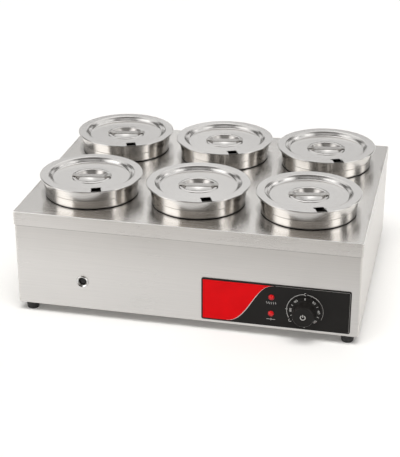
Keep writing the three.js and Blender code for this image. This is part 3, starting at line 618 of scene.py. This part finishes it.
steelTone = (0.63, 0.61, 0.585)
finishes = {
    # Deck steel, darkened round each pot as painted shade
    "deck": steel("deckSteel", steelTone, 0.24, "x", 650.0, 0.80, 7.0, 0.000008, potShadeMask, (0.30, 0.285, 0.27)),
    # Casing steel, darkened just under the deck's apron as painted shadow
    "casing": steel("casingSteel", steelTone, 0.30, "xy", 600.0, 0.7, shadeMask=apronShadowMask, fullShade=(0.20, 0.19, 0.18)),
    # The deck's apron: a lighter copy of the steel on the front, painted as lit, and a darker one on the sides,
    # painted as shaded
    "apron": steel("apronLitSteel", (0.71, 0.689, 0.664), 0.28, "xy", 600.0, 0.7),
    "apronShadedSide": steel("apronShadedSideSteel", (0.59, 0.572, 0.549), 0.28, "xy", 600.0, 0.7),
    # Pale and rough: painted highlight along the deck's bent edges
    "bend": steel("bendHighlightSteel", (0.94, 0.93, 0.91), 0.50, "xy", 600.0, 0.2),
    "rear": steel("rearSteel", steelTone, 0.32, "x", 600.0, 0.7),
    "base": steel("baseSteel", (0.42, 0.41, 0.40), 0.42, "x", 500.0, 0.4),
    "tank": steel("tankSteel", (0.58, 0.565, 0.545), 0.30, "x", 500.0, 0.4),
    "pot": steel("potSteel", (0.66, 0.64, 0.615), 0.17, "spun", 800.0, 0.7, depth=0.00001),
    # Near black: painted shadow at the foot of each pot's collar
    "potFootShadow": steel("potFootShadowSteel", (0.05, 0.047, 0.044), 0.5, "spun", 500.0, 0.2, 30.0),
    # Dark: painted shade on each pot's rim, under its lid
    "potRimShade": steel("potRimShadeSteel", (0.10, 0.096, 0.090), 0.50, "spun", 500.0, 0.2, 30.0),
    "lid": steel("lidSteel", (0.605, 0.588, 0.570), 0.21, "spun", 800.0, 0.3, depth=0.00001),
    # Darker in the dish as painted shade, lighter on the step as painted light; both also satin
    "dish": steel("dishShadeSteel", (0.50, 0.478, 0.455), 0.31, "spun", 800.0, 0.2, depth=0.00001),
    "step": steel("stepLitSteel", (0.66, 0.642, 0.622), 0.26, "spun", 800.0, 0.3, depth=0.00001),
    "strap": steel("strapSteel", (0.44, 0.425, 0.405), 0.22, "x", 800.0, 0.5),
    "sheath": steel("elementSheath", (0.24, 0.22, 0.20), 0.38, "z", 500.0, 0.2, 30.0),
    "zinc": steel("zincPlate", (0.60, 0.62, 0.64), 0.28, "spun", 900.0, 0.2, 60.0),
    "brass": steel("brassFitting", (0.72, 0.55, 0.26), 0.26, "spun", 900.0, 0.2, 60.0),
    "chrome": steel("chromePlate", (0.60, 0.59, 0.575), 0.12, "spun", 700.0, 0.0, 40.0),
    "fascia": moulded("fasciaFilm", (0.0140, 0.0127, 0.0117), 0.34, 1400.0, 0.00002, 0.10, 0.12),
    "red": moulded("fasciaRed", (0.73, 0.003, 0.006), 0.36, 1400.0, 0.00002, 0.05, 0.05),
    "redDark": moulded("lensCollar", (0.30, 0.004, 0.006), 0.35, 1400.0, 0.00002, 0.08),
    "print": moulded("palePrint", (0.55, 0.54, 0.52), 0.45, 1400.0, 0.00001, 0.10),
    "dimPrint": moulded("dimPrint", (0.30, 0.29, 0.275), 0.45, 1400.0, 0.00001, 0.10),
    "knob": moulded("knobPlastic", (0.0125, 0.0112, 0.0102), 0.36, 1600.0, 0.00003, 0.14, 0.14),
    "rubber": moulded("footRubber", (0.011, 0.0105, 0.0105), 0.62, 700.0, 0.00010, 0.20),
    "nylon": moulded("greyNylon", (0.085, 0.095, 0.105), 0.5, 900.0, 0.00005, 0.12),
    "ceramic": moulded("paleCeramic", (0.78, 0.73, 0.63), 0.55, 600.0, 0.00008, 0.08),
    "brown": moulded("brownSleeve", (0.10, 0.045, 0.022), 0.48, 900.0, 0.00005, 0.15),
    "black": moulded("blackSleeve", (0.013, 0.013, 0.014), 0.48, 900.0, 0.00005, 0.15),
}


lensLook = {
    "cells": 900.0, "cellReach": 0.8, "pale": (0.76, 0.010, 0.013), "deep": (0.56, 0.004, 0.007),
    "rough": (0.10, 0.2), "dent": 0.12, "depth": 0.00005, "gloss": 0.3, "coat": 0.15, "coatRough": 0.05,
}


# Red lens with small cells moulded in it
def lensFinish():
    material, tree, shader = newFinish("lensRed")
    node = tree.nodes.new("ShaderNodeTexVoronoi")
    cells = wire(tree, node, {"Vector": objectPlaces(tree), "Scale": lensLook["cells"]})["Distance"]
    shade = spread(tree, cells, 0.0, 1.0, 0.0, lensLook["cellReach"])
    wire(tree, shader, {
        "Base Color": tinted(tree, shade, lensLook["pale"], lensLook["deep"]),
        "Roughness": spread(tree, cells, *lensLook["rough"], 0.0, lensLook["cellReach"]),
        "Normal": dented(tree, cells, lensLook["dent"], lensLook["depth"]),
        "Specular IOR Level": lensLook["gloss"],
        "Coat Weight": lensLook["coat"], "Coat Roughness": lensLook["coatRough"],
    })
    return material


finishes["lens"] = lensFinish()
print("finishes ready:", len(finishes))


# Deck: one sheet with its edges folded down and a hole for each pot
deck = {
    "sheet": 1.0, "corner": 4.0, "bend": 1.6, "bendSteps": 6, "apron": 28.0, "least": 0.2,
    "hole": 89.5, "holeEdge": 0.5, "holeEase": 0.3, "holeSides": 96,
    "bendTilt": (0.15, 0.97), "apronTilt": 0.6,  # how level a face of the bend and of the apron is
    "sideTurn": 0.6,  # how far a face of the sides looks sideways
}

stations = {}
for row in ("front", "rear"):
    for column in ("left", "middle", "right"):
        low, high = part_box(f"pot_{row}_{column}")
        stations[f"{row}_{column}"] = ((low + high) / 2).xy


def makeDeck():
    bm = bmesh.new()
    half = (deckHigh - deckLow) / 2
    sheet, corner, bend, least = (deck[key] * mm for key in ("sheet", "corner", "bend", "least"))
    top, bottom = deckHigh.z, deckHigh.z - deck["apron"] * mm
    centre = ((deckLow.x + deckHigh.x) / 2, middleY)

    def ring(inset, z):
        return roundedRect(half.x - inset, half.y - inset, max(corner - inset, least), z, centre=centre)

    outer = [ring(least, bottom), ring(0, bottom + least)]
    inner = [ring(sheet - least, bottom), ring(sheet, bottom + least)]
    under = max(bend - sheet, least)
    for rise, inset in roundEdge(deck["bendSteps"]):
        outer.append(ring(inset * bend, top - bend + rise * bend))
        inner.append(ring(sheet + inset * under, top - bend + rise * under))
    outerLoops, innerLoops = skin(bm, outer), skin(bm, inner)
    bridge(bm, innerLoops[0], outerLoops[0])
    radius, edge, ease = deck["hole"] * mm, deck["holeEdge"] * mm, deck["holeEase"]
    levels = [(radius, inner[-1][0].z), (radius, top - edge), (radius + edge * ease, top - edge * ease),
              (radius + edge, top)]
    holes = [skin(bm, [circle(r, z, deck["holeSides"], at) for r, z in levels]) for at in stations.values()]
    fill(bm, [outerLoops[-1], *(hole[-1] for hole in holes)])
    fill(bm, [innerLoops[-1], *(hole[0] for hole in holes)])
    mesh = meshOf(bm, "deckSheet", "deck", "apron", "bend", "apronShadedSide")
    low, high = deck["bendTilt"]
    for face in mesh.polygons:
        tilt = abs(face.normal.z)
        away = Vector(face.center[:2]) - Vector(centre)
        atEdge = abs(away.x) > half.x - 2 * bend or abs(away.y) > half.y - 2 * bend
        # Faces of the bent edges get the painted highlight
        if low < tilt < high and atEdge:
            face.material_index = 2
        # Apron faces get the lit copy of the steel at the front and the shaded copy at the sides
        elif tilt < deck["apronTilt"]:
            face.material_index = 3 if abs(face.normal.x) > deck["sideTurn"] else 1
    place("deckSheet", mesh, "casing", replaced=["deck_panel"])


# Casing: front and sides in one folded sheet, with flanges under it and behind it
casing = {
    "sheet": 1.0, "corner": 5.0, "bend": 1.2, "least": 0.2, "flange": 40.0, "rearFlange": 14.0,
    "cornerSteps": 8, "bendSteps": 5,
    "holes": [(-204.4, 77.5, 9.8), (235.7, 64.6, 5.0)],  # x, z, radius of the drain's and the shaft's holes
    "holeReach": 4.0, "holeSides": 40,
}


def makeCasing():
    low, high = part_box("casing_wrap")
    sheet, corner, bend, least, flange, rearFlange = (
        casing[key] * mm for key in ("sheet", "corner", "bend", "least", "flange", "rearFlange"))

    def outline(inset, z):
        radius = max(corner - inset, least)
        left, right, front = low.x + inset, high.x - inset, low.y + inset
        points = [(left, high.y)]
        for x, start in ((left + radius, 180), (right - radius, 270)):
            points += arcPath(radius, start, start + 90, casing["cornerSteps"], (x, front + radius))
        return [Vector((*point, z)) for point in points + [(right, high.y)]]

    rings = [outline(flange, low.z + sheet), outline(flange, low.z)]
    for rise, inset in roundEdge(casing["bendSteps"]):
        rings.append(outline(bend * (1 - rise), low.z + bend * inset))
    rings += [outline(0, high.z), outline(sheet, high.z), outline(sheet, low.z + sheet)]
    bm = bmesh.new()
    loops = [addLoop(bm, ring) for ring in rings]
    for lower, upper in zip(loops, loops[1:] + loops[:1]):
        for i in range(len(lower) - 1):
            bm.faces.new((lower[i], lower[i + 1], upper[i + 1], upper[i]))
    for end in (0, -1):
        fill(bm, [[loop[end] for loop in loops]])
    cutter = bmesh.new()
    reach = casing["holeReach"] * mm
    for x, z, radius in casing["holes"]:
        hole = block([circle(radius * mm, end, casing["holeSides"]) for end in (-reach, reach)])
        join(cutter, hole, onFront(x, z))
    bm = cutOut(bm, cutter)
    for a, b in ((low.x + sheet, low.x + rearFlange), (high.x - rearFlange, high.x - sheet)):
        corners = [(a, high.y), (b, high.y), (b, high.y - sheet), (a, high.y - sheet)]
        join(bm, block([[Vector((x, y, z)) for x, y in corners] for z in (low.z + sheet, high.z)]))
    makePiece("casingSheet", bm, "casing", replaced=["casing_wrap"])


# The same mesh at all six pots, at a height over the deck
def placeAtPots(name, mesh, body, node, height=0.0, angle=0.0):
    for station, at in stations.items():
        move = Matrix.Translation((at.x, at.y, deckHigh.z + height * mm)) @ spin(angle)
        place(f"{name}_{station}", mesh, f"{body}_{station}", move, [f"{node}_{station}"])


# Pots: a turned body with a wide collar in two bands; the foot of the collar is painted near black as shadow at
# the deck, and the rim dark as shade under the lid
pot = {
    "sides": 112,
    "lip": 2.4,  # height over the deck up to which the collar's foot is painted near black as shadow
    "footShadowRadius": 88.2,  # inside it no face gets the painted shadow
    "footShadowTilt": 0.3,  # how far up a face with the painted shadow may look
    "rim": 39.2,  # height from which the rim is dark satin, painted shade under the lid
    "profile": [  # radius, height over the deck, easing radius
        (0, -122), (81, -122, 7), (88, -115, 7), (88, 0.3, 0.5), (91.2, 0.3, 0.6), (92.6, 1.6, 0.8),
        (92.8, 3.0, 1.0), (93, 17.6, 1.0), (94.4, 18.9, 1.0), (96, 38.4, 0.4), (99.1, 38.8, 0.4),
        (99.5, 39.4, 0.5), (99.1, 40, 0.5), (95.6, 40, 0.8), (93.4, 19.4, 1.5), (92, 17.8, 1.5),
        (91.4, 1.4, 1.5), (87, 1.3, 1), (87, -114.6, 6), (80.6, -121, 6), (0, -121),
    ],
}


def makePots():
    mesh = meshOf(turned(pot["profile"], pot["sides"], steps=3), "potShell", "pot", "potFootShadow", "potRimShade")
    # Faces at the foot of the collar get the painted shadow, faces of the rim the painted shade
    for face in mesh.polygons:
        wide = Vector(face.center[:2]).length > pot["footShadowRadius"] * mm
        if wide and 0 < face.center.z < pot["lip"] * mm and face.normal.z < pot["footShadowTilt"]:
            face.material_index = 1
        elif face.center.z > pot["rim"] * mm:
            face.material_index = 2
    placeAtPots("potShell", mesh, "pot", "pot")


# Lids: raised ring, lower middle, centre dish with a strap, ladle notch
lid = {
    "sides": 128,
    "top": 41.1,  # over the deck
    "upper": [  # radius, height, easing radius; the last three turn down over the pot's rim
        (0, -19.2), (5, -19.0, 10), (11, -18.1, 12), (19, -16.4, 12), (26.6, -14.9, 2.5), (31.6, -8.2, 1.2),
        (32.9, -6.95, 1.2), (35.6, -6.55, 3), (38.8, -7.0, 1.5), (40.2, -8, 0.2), (76.2, -8, 0.8),
        (77.4, -7.5, 1.2), (78.6, -6.4, 1.4), (81.4, -3.0, 2.2), (84.3, -0.9, 2.2), (86.2, 0, 1.6),
        (101.4, 0, 1.2), (102.6, -1.2, 0.6), (102.6, -2.5, 0.2),
    ],
    "lip": [(101.8, -2.5, 0.2), (101.8, -1.6, 0.5), (101.1, -0.8, 0.5)],
    "sheet": 0.8,
    "notchAngle": 22.0,
    "notchWidth": 20.0,
    "notches": [(41.0, 0.0, -5.4, 6), (41.0, 2.6, -14, -5.0)],  # depth, shift to the right, from and to height
    "notchCorner": 1.2, "notchSteps": 4,
    "radius": 102.6,
    "satinAndShadeBands": [("dish", 22.5, 32.2), ("step", 77.0, 86.0)],  # finish, and the radii that it lies between; the dish is painted darker as shade in its recess, the step lighter as lit
}


def makeLids():
    under = [(r, z - lid["sheet"], *ease) for r, z, *ease in lid["upper"][:-3]]
    profile = lid["upper"] + lid["lip"] + under[::-1]
    body = turned(profile, lid["sides"], steps=3)
    for depth, shift, low, high in lid["notches"]:
        half, centre = lid["notchWidth"] / 2 * mm, (shift * mm, -lid["radius"] * mm)
        corner = lid["notchCorner"] * mm
        steps = lid["notchSteps"]
        cutter = block([roundedRect(half, depth * mm, corner, z * mm, steps, centre) for z in (low, high)])
        bmesh.ops.transform(cutter, matrix=spin(lid["notchAngle"]), verts=cutter.verts)
        body = cutOut(body, cutter)
    mesh = meshOf(body, "lidShell", "lid", *(row[0] for row in lid["satinAndShadeBands"]))
    for face in mesh.polygons:
        away = Vector(face.center[:2]).length
        for index, (kind, inner, outer) in enumerate(lid["satinAndShadeBands"], 1):
            if inner * mm < away < outer * mm:
                face.material_index = index
    placeAtPots("lidShell", mesh, "lid", "lid", lid["top"])


# Lid handles: a strap with rounded ends across each dish
strap = {
    "width": 15.0, "thick": 1.8, "edge": 0.8, "angle": 10.0, "pathSteps": 6, "edgeSteps": 4,
    "path": [(-38.5, -5.6), (-38.2, -5.6), (-37.2, -5.6), (-35.6, -5.6), (-32, -5.6, 5), (-25, -7.2, 8),
             (25, -7.2, 8), (32, -5.6, 5), (35.6, -5.6), (37.2, -5.6), (38.2, -5.6), (38.5, -5.6)],
    "tips": [0.80, 0.90, 0.97, 1.0],  # width of the rounded ends, from the tip inwards
}


def makeStraps():
    bm = bmesh.new()
    half, thick, edge = strap["width"] / 2, strap["thick"] / 2, strap["edge"]
    corners = [(x * half, z * thick, edge) for x, z in ((-1, -1), (1, -1), (1, 1), (-1, 1))]
    path = [Vector((x, 0, z)) * mm for x, z in eased(strap["path"], strap["pathSteps"])]
    section = [(s * mm, u * mm) for s, u in eased(corners, strap["edgeSteps"], True)]
    widths = strap["tips"] + [1.0] * (len(path) - 2 * len(strap["tips"])) + strap["tips"][::-1]
    sweep(bm, path, section, widths)
    mesh = meshOf(bm, "lidStrap", "strap")
    placeAtPots("lidStrap", mesh, "lid", "lid_handle", lid["top"], strap["angle"])


makeDeck()
makeCasing()
makePots()
makeLids()
makeStraps()
print("deck, casing, pots and lids made")


# Flat shapes in the plane of the front, in mm from a given centre
def ribbon(path, widths):
    left, right = [], []
    for i, here in enumerate(path):
        along = heading(path, i)
        side = Vector((-along.y, along.x)) * widths[i] / 2
        left.append(Vector(here) + side)
        right.append(Vector(here) - side)
    return left + right[::-1]


def bezier(a, b, c, d, steps=28):
    points = []
    for i in range(steps + 1):
        t = i / steps
        weights = ((1 - t) ** 3, 3 * t * (1 - t) ** 2, 3 * t * t * (1 - t), t ** 3)
        points.append(tuple(sum(w * p[k] for w, p in zip(weights, (a, b, c, d))) for k in (0, 1)))
    return points


# Raised flat shape with upright sides between two levels
def printed(bm, outline, levels):
    capped(bm, [[Vector((p[0], p[1], z)) * mm for p in outline] for z in levels])


def stroke(bm, path, width, levels):
    printed(bm, ribbon(path, [width] * len(path)), levels)


# Raised text, turned about its centre
def lettered(bm, text, height, levels, turn, centre):
    low, high = levels
    curve = bpy.data.curves.new("letters", "FONT")
    curve.body, curve.size = text, height * mm
    curve.align_x = curve.align_y = "CENTER"
    thing = added("letters", curve)
    flat = bpy.data.meshes.new_from_object(thing.evaluated_get(bpy.context.evaluated_depsgraph_get()))
    part = bmesh.new()
    part.from_mesh(flat)
    bpy.data.objects.remove(thing)
    bpy.data.curves.remove(curve)
    bpy.data.meshes.remove(flat)
    raised = bmesh.ops.extrude_face_region(part, geom=part.faces[:])["geom"]
    tops = [item for item in raised if isinstance(item, bmesh.types.BMVert)]
    bmesh.ops.translate(part, vec=(0, 0, (high - low) * mm), verts=tops)
    join(bm, part, Matrix.Translation((centre[0] * mm, centre[1] * mm, low * mm)) @ spin(turn))


# Control fascia: black plate with a red field, a silver line and printed marks
fascia = {
    "centre": (178.7, 69.5), "half": (144.0, 44.5), "corner": 4.0, "low": 0.3, "top": 1.8, "edge": 0.45,
    "edgeSteps": 4, "border": 3.1, "innerCorner": 1.6, "shaftHole": 4.2, "lightHole": 5.2, "holeSides": 32,
    "curve": ((84.8, 28.4), (124.8, 28.4), (137.3, 110.9), (174.3, 110.9)),
    "silver": 1.5, "silverThin": 0.35, "swellEnd": 0.8, "swellPower": 1.2,  # the silver line's width along its run
    "line": 0.55, "lineInset": 2.4, "lineCorner": 2.8, "lineStart": 4.0, "lineEnd": -70, "lineSteps": 8,
    "arcSteps": 6,
    "film": 0.05, "bite": 0.1,  # of prints over the plate's top and under it
}
printLevels = (fascia["top"] - fascia["bite"], fascia["top"] + fascia["film"])
dial = {
    "centre": (235.7, 64.6), "arc": 35.0, "arcWidth": 0.9, "dimWidth": 0.7,
    "bright": [(209.0, 95, 40), (85, 40.0, 16)], "dim": (40.0, -26.0, 24),  # from, to, steps
    "hookSteps": 12,
    "hooks": [(2.2, 60, 300, 0.4, 90), (2.6, 110, 330, 0.6, 219.0)],  # radius, from, to, distance outwards, angle
    "crossing": (-2.4, 2.4, 178, 0.9), "tick": (-1.4, -3.4, 70.0, 0.7),  # both ends, angle, width
    "tip": (-1.0, 270), "tipShape": [(-2.0, -1.6), (2.0, -1.6), (0, 1.8)],
}
light = {"x": 171.0, "heights": {"heat_indicator": 87.2, "power_indicator": 52.4}, "markDrop": 12.3}


def makeFascia():
    cx, cz = fascia["centre"]
    hx, hz = fascia["half"]
    low, top, edge, corner, steps = (fascia[key] for key in ("low", "top", "edge", "corner", "arcSteps"))
    move = onFront(cx, cz)

    def ring(inset, z):
        return roundedRect((hx - inset) * mm, (hz - inset) * mm, (corner - inset) * mm, z * mm)

    bm = bmesh.new()
    rings = [ring(0, low)]
    for rise, inset in roundEdge(fascia["edgeSteps"]):
        rings.append(ring(edge * inset, top - edge + edge * rise))
    loops = skin(bm, rings)
    holes = [(*dial["centre"], fascia["shaftHole"])]
    holes += [(light["x"], z, fascia["lightHole"]) for z in light["heights"].values()]
    pairs = []
    for x, z, radius in holes:
        at = ((x - cx) * mm, (z - cz) * mm)
        pairs.append(skin(bm, [circle(radius * mm, end * mm, fascia["holeSides"], at) for end in (low, top)]))
    fill(bm, [loops[0], *(pair[0] for pair in pairs)])
    fill(bm, [loops[-1], *(pair[1] for pair in pairs)])
    makePiece("fasciaPlate", bm, "fascia", move, ["control_fascia"])

    curve = [(x - cx, z - cz) for x, z in bezier(*fascia["curve"])]
    left, inner = -hx + fascia["border"], fascia["innerCorner"]
    bottom, roof = curve[0][1], curve[-1][1]
    field = arcPath(inner, 90, 180, steps, (left + inner, roof - inner))
    field += arcPath(inner, 180, 270, steps, (left + inner, bottom + inner)) + curve
    bm = bmesh.new()
    printed(bm, field, printLevels)
    makePiece("fasciaRedField", bm, "red", move)

    bm = bmesh.new()
    last = len(curve) - 1
    widths, shifted = [], []
    for i, here in enumerate(curve):
        swell = math.sin(math.pi * min(i / last / fascia["swellEnd"], 1.0)) ** fascia["swellPower"]
        widths.append(fascia["silverThin"] + (fascia["silver"] - fascia["silverThin"]) * swell)
        along = heading(curve, i)
        shifted.append(tuple(Vector(here) + Vector((along.y, -along.x)) * widths[i] / 2))
    printed(bm, ribbon(shifted, widths), (printLevels[0], printLevels[1] + fascia["film"]))
    makePiece("fasciaSilverLine", bm, "print", move)

    # A thin pale line inside the plate's top and right edges, ending at its lower right corner
    bm = bmesh.new()
    turn, inset = fascia["lineCorner"], fascia["lineInset"]
    right, roof = hx - inset, hz - inset
    path = [(curve[-1][0] + fascia["lineStart"], roof)]
    path += arcPath(turn, 90, 0, fascia["lineSteps"], (right - turn, roof - turn))
    path += arcPath(turn, 0, fascia["lineEnd"], steps, (right - turn, turn - roof))
    stroke(bm, path, fascia["line"], printLevels)
    makePiece("fasciaEdgeLine", bm, "dimPrint", move)


# Marks printed round the dial
def makeMarks():
    bright, dim = bmesh.new(), bmesh.new()
    radius, width, steps = dial["arc"], dial["arcWidth"], dial["hookSteps"]
    for arc in dial["bright"]:
        stroke(bright, arcPath(radius, *arc), width, printLevels)
    stroke(dim, arcPath(radius, *dial["dim"]), width * dial["dimWidth"], printLevels)
    for size, start, end, out, angle in dial["hooks"]:
        stroke(bright, arcPath(size, start, end, steps, polar(radius + out, angle)), width, printLevels)
    for bm, (start, end, angle, thick) in ((bright, dial["crossing"]), (dim, dial["tick"])):
        stroke(bm, [polar(radius + out, angle) for out in (start, end)], thick, printLevels)
    out, angle = dial["tip"]
    tip = Vector(polar(radius + out, angle))
    printed(dim, [tip + Vector(corner) for corner in dial["tipShape"]], printLevels)
    move = onFront(*dial["centre"])
    makePiece("dialArcBright", bright, "print", move)
    makePiece("dialArcDim", dim, "dimPrint", move)


# Marks under the lights: heat waves, and a bar, a ring and a bar
waves = {"offsets": (-8.4, -4.2, 0.0, 4.2, 8.4), "sway": 0.75, "height": 4.8, "width": 0.75, "steps": 10}
circuit = {"ring": 1.7, "ringWidth": 0.7, "ringSides": 32, "bar": (2.4, 8.4), "barWidth": 0.8}


def makeLightMarks():
    heat, power = bmesh.new(), bmesh.new()
    steps = waves["steps"]
    for offset in waves["offsets"]:
        path = [(offset + waves["sway"] * math.sin(math.tau * i / steps), waves["height"] * (i / steps - 0.5))
                for i in range(steps + 1)]
        stroke(heat, path, waves["width"], printLevels)
    outer, inner = (circuit["ring"] + side * circuit["ringWidth"] / 2 for side in (1, -1))
    low, high = printLevels
    corners = [(outer, low), (outer, high), (inner, high), (inner, low)]
    lathe(power, [(radius * mm, z * mm) for radius, z in corners], circuit["ringSides"], True)
    for side in (-1, 1):
        stroke(power, [(side * x, 0) for x in circuit["bar"]], circuit["barWidth"], printLevels)
    for name, bm, node in (("heatMark", heat, "heat_indicator"), ("powerMark", power, "power_indicator")):
        move = onFront(light["x"], light["heights"][node] - light["markDrop"])
        makePiece(name, bm, "print", move)


# Indicator lights: domed lens in a narrow dark red collar
lens = {
    "sides": 48,
    "dome": [(0, 6.1), (3.0, 5.7, 4), (4.9, 4.3, 2), (5.3, 2.9, 0.5), (5.3, 1.2), (0, 1.2)],
    "collar": [(5.4, 1.2), (5.4, 2.9, 0.2), (5.8, 2.9, 0.2), (6.0, 2.3, 0.2), (6.0, 1.85, 0.05), (5.7, 1.2)],
}


def makeLights():
    for name, z in light["heights"].items():
        move = onFront(light["x"], z)
        makePiece(f"lens_{name}", turned(lens["dome"], lens["sides"]), "lens", move, [name])
        collar = turned(lens["collar"], lens["sides"], True)
        makePiece(f"collar_{name}", collar, "redDark", move)


# Control knob: thin skirt with numbers, tapered grip with a dished face
knob = {
    "sides": 96,
    "profile": [  # radius, height over the casing's front, easing radius
        (0, 24.0), (3.2, 24.0), (3.2, 2.6), (29.6, 2.6, 0.3), (30.0, 3.4, 0.3), (29.3, 5.1, 0.5), (23.4, 5.6, 0.5),
        (22.4, 6.6, 0.8), (20.9, 26.4, 0.8), (19.0, 29.3, 2.6), (16.6, 29.2, 1.2), (15.8, 28.9, 1.2), (0, 28.8),
    ],
    "printTop": 0.12, "skirtTop": 5.35, "skirtBite": 0.25, "faceTop": 28.8, "faceBite": 0.1,
    "numbers": ["30", "40", "50", "60", "70", "80", "90"], "numberHeight": 8.0, "numberRadius": 26.3,
    "firstNumber": 38.0, "numberStep": 47.0, "tick": (24.0, 29.0), "tickWidth": 1.0,
    "pointer": (23.8, 29.2), "pointerWidth": 1.9,
    "symbolRadius": 4.6, "symbolWidth": 1.5, "symbolArc": (122, 418, 36), "symbolBar": [(0, 0.4), (0, 6.2)],
}


def makeKnob():
    move = onFront(*dial["centre"])
    body = turned(knob["profile"], knob["sides"], steps=4)
    makePiece("knobBody", body, "knob", move, ["control_knob"], "knob")

    bm = bmesh.new()
    levels = (knob["skirtTop"] - knob["skirtBite"], knob["skirtTop"] + knob["printTop"])
    stroke(bm, [polar(radius, 90) for radius in knob["pointer"]], knob["pointerWidth"], levels)
    for i, text in enumerate(knob["numbers"]):
        angle = 90 - knob["firstNumber"] - knob["numberStep"] * i
        lettered(bm, text, knob["numberHeight"], levels, angle - 90, polar(knob["numberRadius"], angle))
        if i < len(knob["numbers"]) - 1:
            angle -= 0.5 * knob["numberStep"]
            stroke(bm, [polar(radius, angle) for radius in knob["tick"]], knob["tickWidth"], levels)
    levels = (knob["faceTop"] - knob["faceBite"], knob["faceTop"] + knob["printTop"])
    for path in (arcPath(knob["symbolRadius"], *knob["symbolArc"]), knob["symbolBar"]):
        stroke(bm, path, knob["symbolWidth"], levels)
    makePiece("knobNumbers", bm, "print", move, body="knob")


# Drain: chromed socket with a funnel, and a rubber plug in its bore
drain = {
    "centre": (-204.4, 77.5), "sides": 64,
    "socket": [  # radius, height over the casing's front, easing radius
        (12.4, 0.3), (12.5, 1.3, 0.5), (11.6, 2.7, 0.9), (10.4, 2.8, 0.8), (9.4, 1.9, 0.8), (8.0, 0.6, 0.8),
        (6.6, -2.6, 0.8), (6.5, -3.4, 0.3), (6.5, -20.0), (9.5, -20.0), (9.5, 0.3),
    ],
    "plug": [(0, -3.4), (4.6, -3.4, 0.8), (6.0, -4.2, 0.8), (6.15, -6.0, 0.4), (5.6, -14.6, 0.6), (0, -15.1)],
}


def makeDrain():
    move = onFront(*drain["centre"])
    socket, plug = turned(drain["socket"], drain["sides"], True), turned(drain["plug"], drain["sides"])
    makePiece("drainSocket", socket, "chrome", move, ["drain_socket"])
    makePiece("drainPlug", plug, "rubber", move, ["drain_plug"], "drain_plug")


makeFascia()
makeMarks()
makeLightMarks()
makeLights()
makeKnob()
makeDrain()
print("fascia, knob, lights and drain made")


# Rubber feet, each with a recess for its screw
foot = {
    "sides": 48,
    "profile": [  # radius, height, easing radius
        (2.6, 6.0), (5.0, 6.0, 0.4), (5.0, 0.4, 0.3), (5.5, 0.0, 0.3), (10.6, 0.0, 1.0), (11.7, 1.6, 1.0),
        (12.1, 6.0, 0.6), (12.0, 7.0, 0.5), (12.3, 7.6, 0.4), (12.8, 17.0, 0.6), (12.8, 18.4, 0.3),
        (12.4, 18.7, 0.2), (2.6, 18.7),
    ],
}


def makeFeet():
    mesh = meshOf(turned(foot["profile"], foot["sides"], True), "footRubber", "rubber")
    for corner in ("front_left", "front_right", "rear_left", "rear_right"):
        low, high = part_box(f"foot_{corner}")
        middle = (low + high) / 2
        move = Matrix.Translation((middle.x, middle.y, 0))
        place(f"footRubber_{corner}", mesh, "casing", move, [f"foot_{corner}"])


makeFeet()
print("feet made")


# Finish of every solid that stays as it is, by its name or by the record's material slot where they differ
nodeFinish = {"water_tank": "tank"}
slotFinish = {
    "brushed_steel": "rear", "base_steel": "base", "element_sheath": "sheath", "grey_nylon": "nylon",
    "zinc_steel": "zinc", "brown_sleeve": "brown", "black_sleeve": "black", "fascia_black": "fascia",
    "red_lens": "lens", "black_plastic": "knob", "polished_steel": "pot",
}

for row in frame["record"]["subparts"]:
    kind = row["material_slot"]
    kind = nodeFinish.get(row["node"], slotFinish.get(kind, kind))
    for slot in frame["nodes"][row["node"]].material_slots:
        slot.material = finishes[kind]
print("finishes given to the solids that stay")
